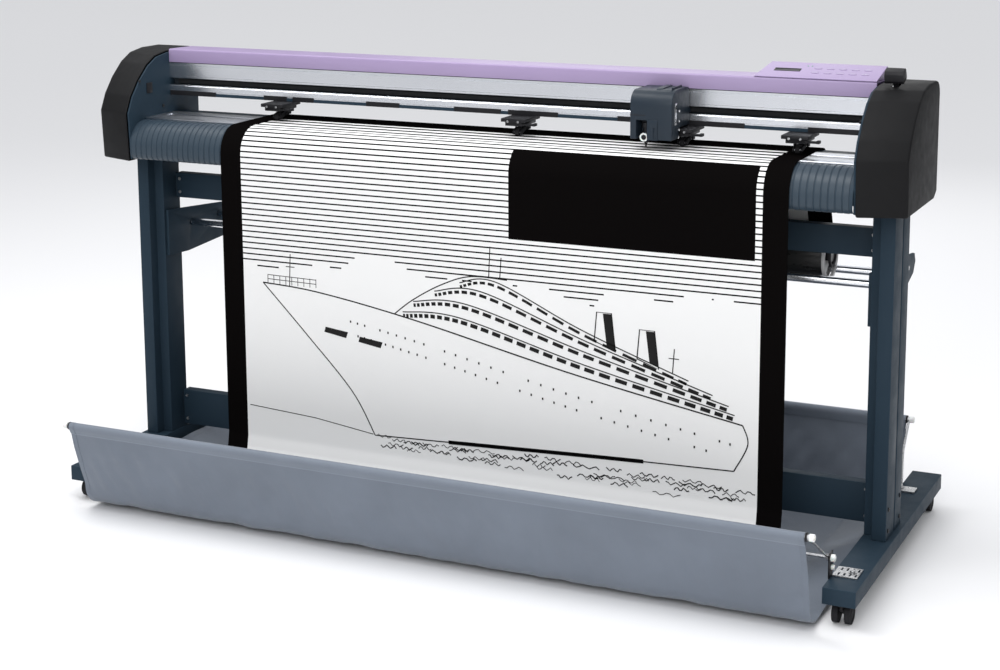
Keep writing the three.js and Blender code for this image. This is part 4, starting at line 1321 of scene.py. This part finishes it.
above_clouds = mask("SUBTRACT", 0.27, mask("MULTIPLY", row, RULE_PITCH))
depth = mask("MULTIPLY", above_clouds, 3.2)
clear = mask("GREATER_THAN", mask("ADD", billow.outputs[0], depth), 0.52)
rules = mask("MULTIPLY", mask("MULTIPLY", ruled, clear), between(along, SHADE_BAND[1], SKY_END))
panel = mask("MULTIPLY", between(across, *PANEL[0]), between(along, *PANEL[1]))
# the border, rules and panel are print; the band under the rail is painted shade
ink_and_shade = mask("MAXIMUM", mask("MAXIMUM", border, rail_shade_band), mask("MAXIMUM", rules, panel))
feed(PRINT, "Base Color", blend_colours(PRINT, ink_and_shade, film_tone, (0.0035, 0.003, 0.003)))
dress(media_sheet, PRINT)
fit(media_sheet, "root", "loaded_sheet")

# the ship: inked strokes lying on the film, drawn in x and z
face_y = bend_y - bend - 0.0003
strokes = bmesh.new()


def stroke(points, width=0.0022):
    """A line of even width through the points."""
    rails = []
    for i, (x, z) in enumerate(points):
        x0, z0 = points[max(i - 1, 0)]
        x1, z1 = points[min(i + 1, len(points) - 1)]
        run = math.hypot(x1 - x0, z1 - z0)
        dx, dz = -(z1 - z0) / run * width / 2, (x1 - x0) / run * width / 2
        rails.append((strokes.verts.new((x - dx, face_y, z - dz)),
                      strokes.verts.new((x + dx, face_y, z + dz))))
    for (a, b), (c, d) in zip(rails, rails[1:]):
        strokes.faces.new((a, c, d, b))


def patch(points):
    strokes.faces.new([strokes.verts.new((x, face_y, z)) for x, z in points])


def bow_to_stern(points, share):
    """The point a share of the way along a line of points."""
    place = share * (len(points) - 1)
    k = min(int(place), len(points) - 2)
    (x0, z0), (x1, z1) = points[k], points[k + 1]
    return x0 + (x1 - x0) * (place - k), z0 + (z1 - z0) * (place - k)


def curve(points, steps=24):
    """A smooth line through the points."""
    line = []
    for i in range(len(points) - 1):
        p0, p1, p2 = points[max(i - 1, 0)], points[i], points[i + 1]
        p3 = points[min(i + 2, len(points) - 1)]
        for k in range(steps):
            t = k / steps
            line.append(tuple(
                0.5 * (2 * b + (c - a) * t + (2 * a - 5 * b + 4 * c - d) * t * t
                       + (3 * b - a - 3 * c + d) * t ** 3)
                for a, b, c, d in zip(p0, p1, p2, p3)
            ))
    return [*line, points[-1]]


sheer = curve([(-0.57, 0.598), (-0.40, 0.586), (-0.12, 0.540), (0.30, 0.452), (0.735, 0.376)])
keel = curve([(-0.245, 0.226), (0.05, 0.238), (0.40, 0.252), (0.715, 0.262)])
stroke(sheer, 0.0035)
stroke(curve([(-0.57, 0.598), (-0.44, 0.470), (-0.31, 0.335), (-0.245, 0.226)]), 0.003)
stroke(curve([(0.735, 0.376), (0.748, 0.330), (0.715, 0.262)]), 0.003)
stroke(keel, 0.003)
stroke([bow_to_stern(keel, 0.25 + 0.5 * k / 20) for k in range(21)], 0.010)
DECKS = (
    ([(-0.16, 0.560), (0.0, 0.560), (0.33, 0.478), (0.715, 0.398)], 0.010),
    ([(-0.13, 0.590), (0.02, 0.596), (0.34, 0.508), (0.700, 0.418)], 0.009),
    ([(-0.07, 0.622), (0.06, 0.632), (0.34, 0.536), (0.660, 0.440)], 0.008),
    ([(0.00, 0.650), (0.10, 0.660), (0.33, 0.562), (0.600, 0.468)], 0.007),
)
for number, (points, width) in enumerate(DECKS):
    deck = curve(points)
    stroke(deck, 0.0028)
    windows = 30 - 4 * number
    for k in range(windows):
        run = [bow_to_stern(deck, (k + t) / windows) for t in (0.12, 0.45, 0.80)]
        stroke([(x, z - 0.010) for x, z in run], width)
bridge_front = [(-0.185, 0.551), (-0.13, 0.594), (-0.05, 0.640), (0.03, 0.668), (0.13, 0.668)]
stroke(curve(bridge_front), 0.003)
for x, z in ((0.36, 0.560), (0.47, 0.528)):
    funnel = [(x, z - 0.02), (x + 0.006, z + 0.052), (x + 0.044, z + 0.052), (x + 0.055, z - 0.04)]
    stroke([*funnel, funnel[0]], 0.003)
    patch([(x + 0.022, z + 0.050), (x + 0.044, z + 0.050), (x + 0.054, z - 0.036),
           (x + 0.032, z - 0.028)])
MASTS = ((-0.49, 0.595, 0.085), (0.08, 0.668, 0.080), (0.11, 0.668, 0.055), (0.56, 0.482, 0.06))
for x, z, tall in MASTS:
    stroke([(x, z), (x + 0.004, z + tall)], 0.0025)
    stroke([(x - 0.010, z + tall * 0.6), (x + 0.016, z + tall * 0.6)], 0.0022)
for k in range(9):
    x = -0.555 + 0.018 * k
    stroke([(x, 0.597), (x, 0.620)], 0.0018)
for lift in (0.609, 0.620):
    stroke([(-0.555, lift), (-0.411, lift - 0.002)], 0.0018)
for row_down, first, last in ((0.052, 0.34, 0.97), (0.085, 0.36, 0.93)):
    for k in range(34):
        x, z = bow_to_stern(sheer, first + (last - first) * k / 33)
        if k % 7 != 3:
            patch([(x, z - row_down), (x + 0.004, z - row_down), (x + 0.004, z - row_down - 0.006),
                   (x, z - row_down - 0.006)])
for x, z in ((-0.385, 0.498), (-0.285, 0.482)):
    patch([(x, z), (x + 0.066, z - 0.008), (x + 0.060, z - 0.024), (x - 0.004, z - 0.014)])
stroke([(-0.62, 0.262), (-0.42, 0.250), (-0.25, 0.228)], 0.0022)
SEA_END = 0.775
for k in range(64):
    shore = noise.noise(Vector((k * 1.7, 3.1, 0.0)))
    spread = noise.noise(Vector((k * 2.3, 8.2, 0.0)))
    x = -0.24 + 0.97 * ((k * 0.618) % 1)
    z = 0.232 - 0.052 * abs(shore) - 0.028 * ((k * 0.37) % 1)
    long = 0.035 + 0.06 * abs(spread)
    wave = [
        (x + long * t / 8, z + 0.004 * math.sin(t * 1.7 + k) + 0.002 * math.sin(t * 3.1))
        for t in range(9) if x + long * t / 8 < SEA_END
    ]
    if len(wave) > 2:
        stroke(wave, 0.0018 + 0.0014 * ((k * 0.41) % 1))
drawing = bpy.data.objects.new("printed_ship", bpy.data.meshes.new("printed_ship"))
strokes.to_mesh(drawing.data)
strokes.free()
bpy.context.collection.objects.link(drawing)
modify(drawing, "SOLIDIFY", thickness=0.0001, offset=0)
INK = grained(
    "printing_ink", (0.0035, 0.003, 0.003), 0.35, 0.0, (0.2, 30, 0.05, 900, 0.00003),
    Specular_IOR_Level=0.2,
)
dress(drawing, INK)
fit(drawing, "root")

low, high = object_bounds()
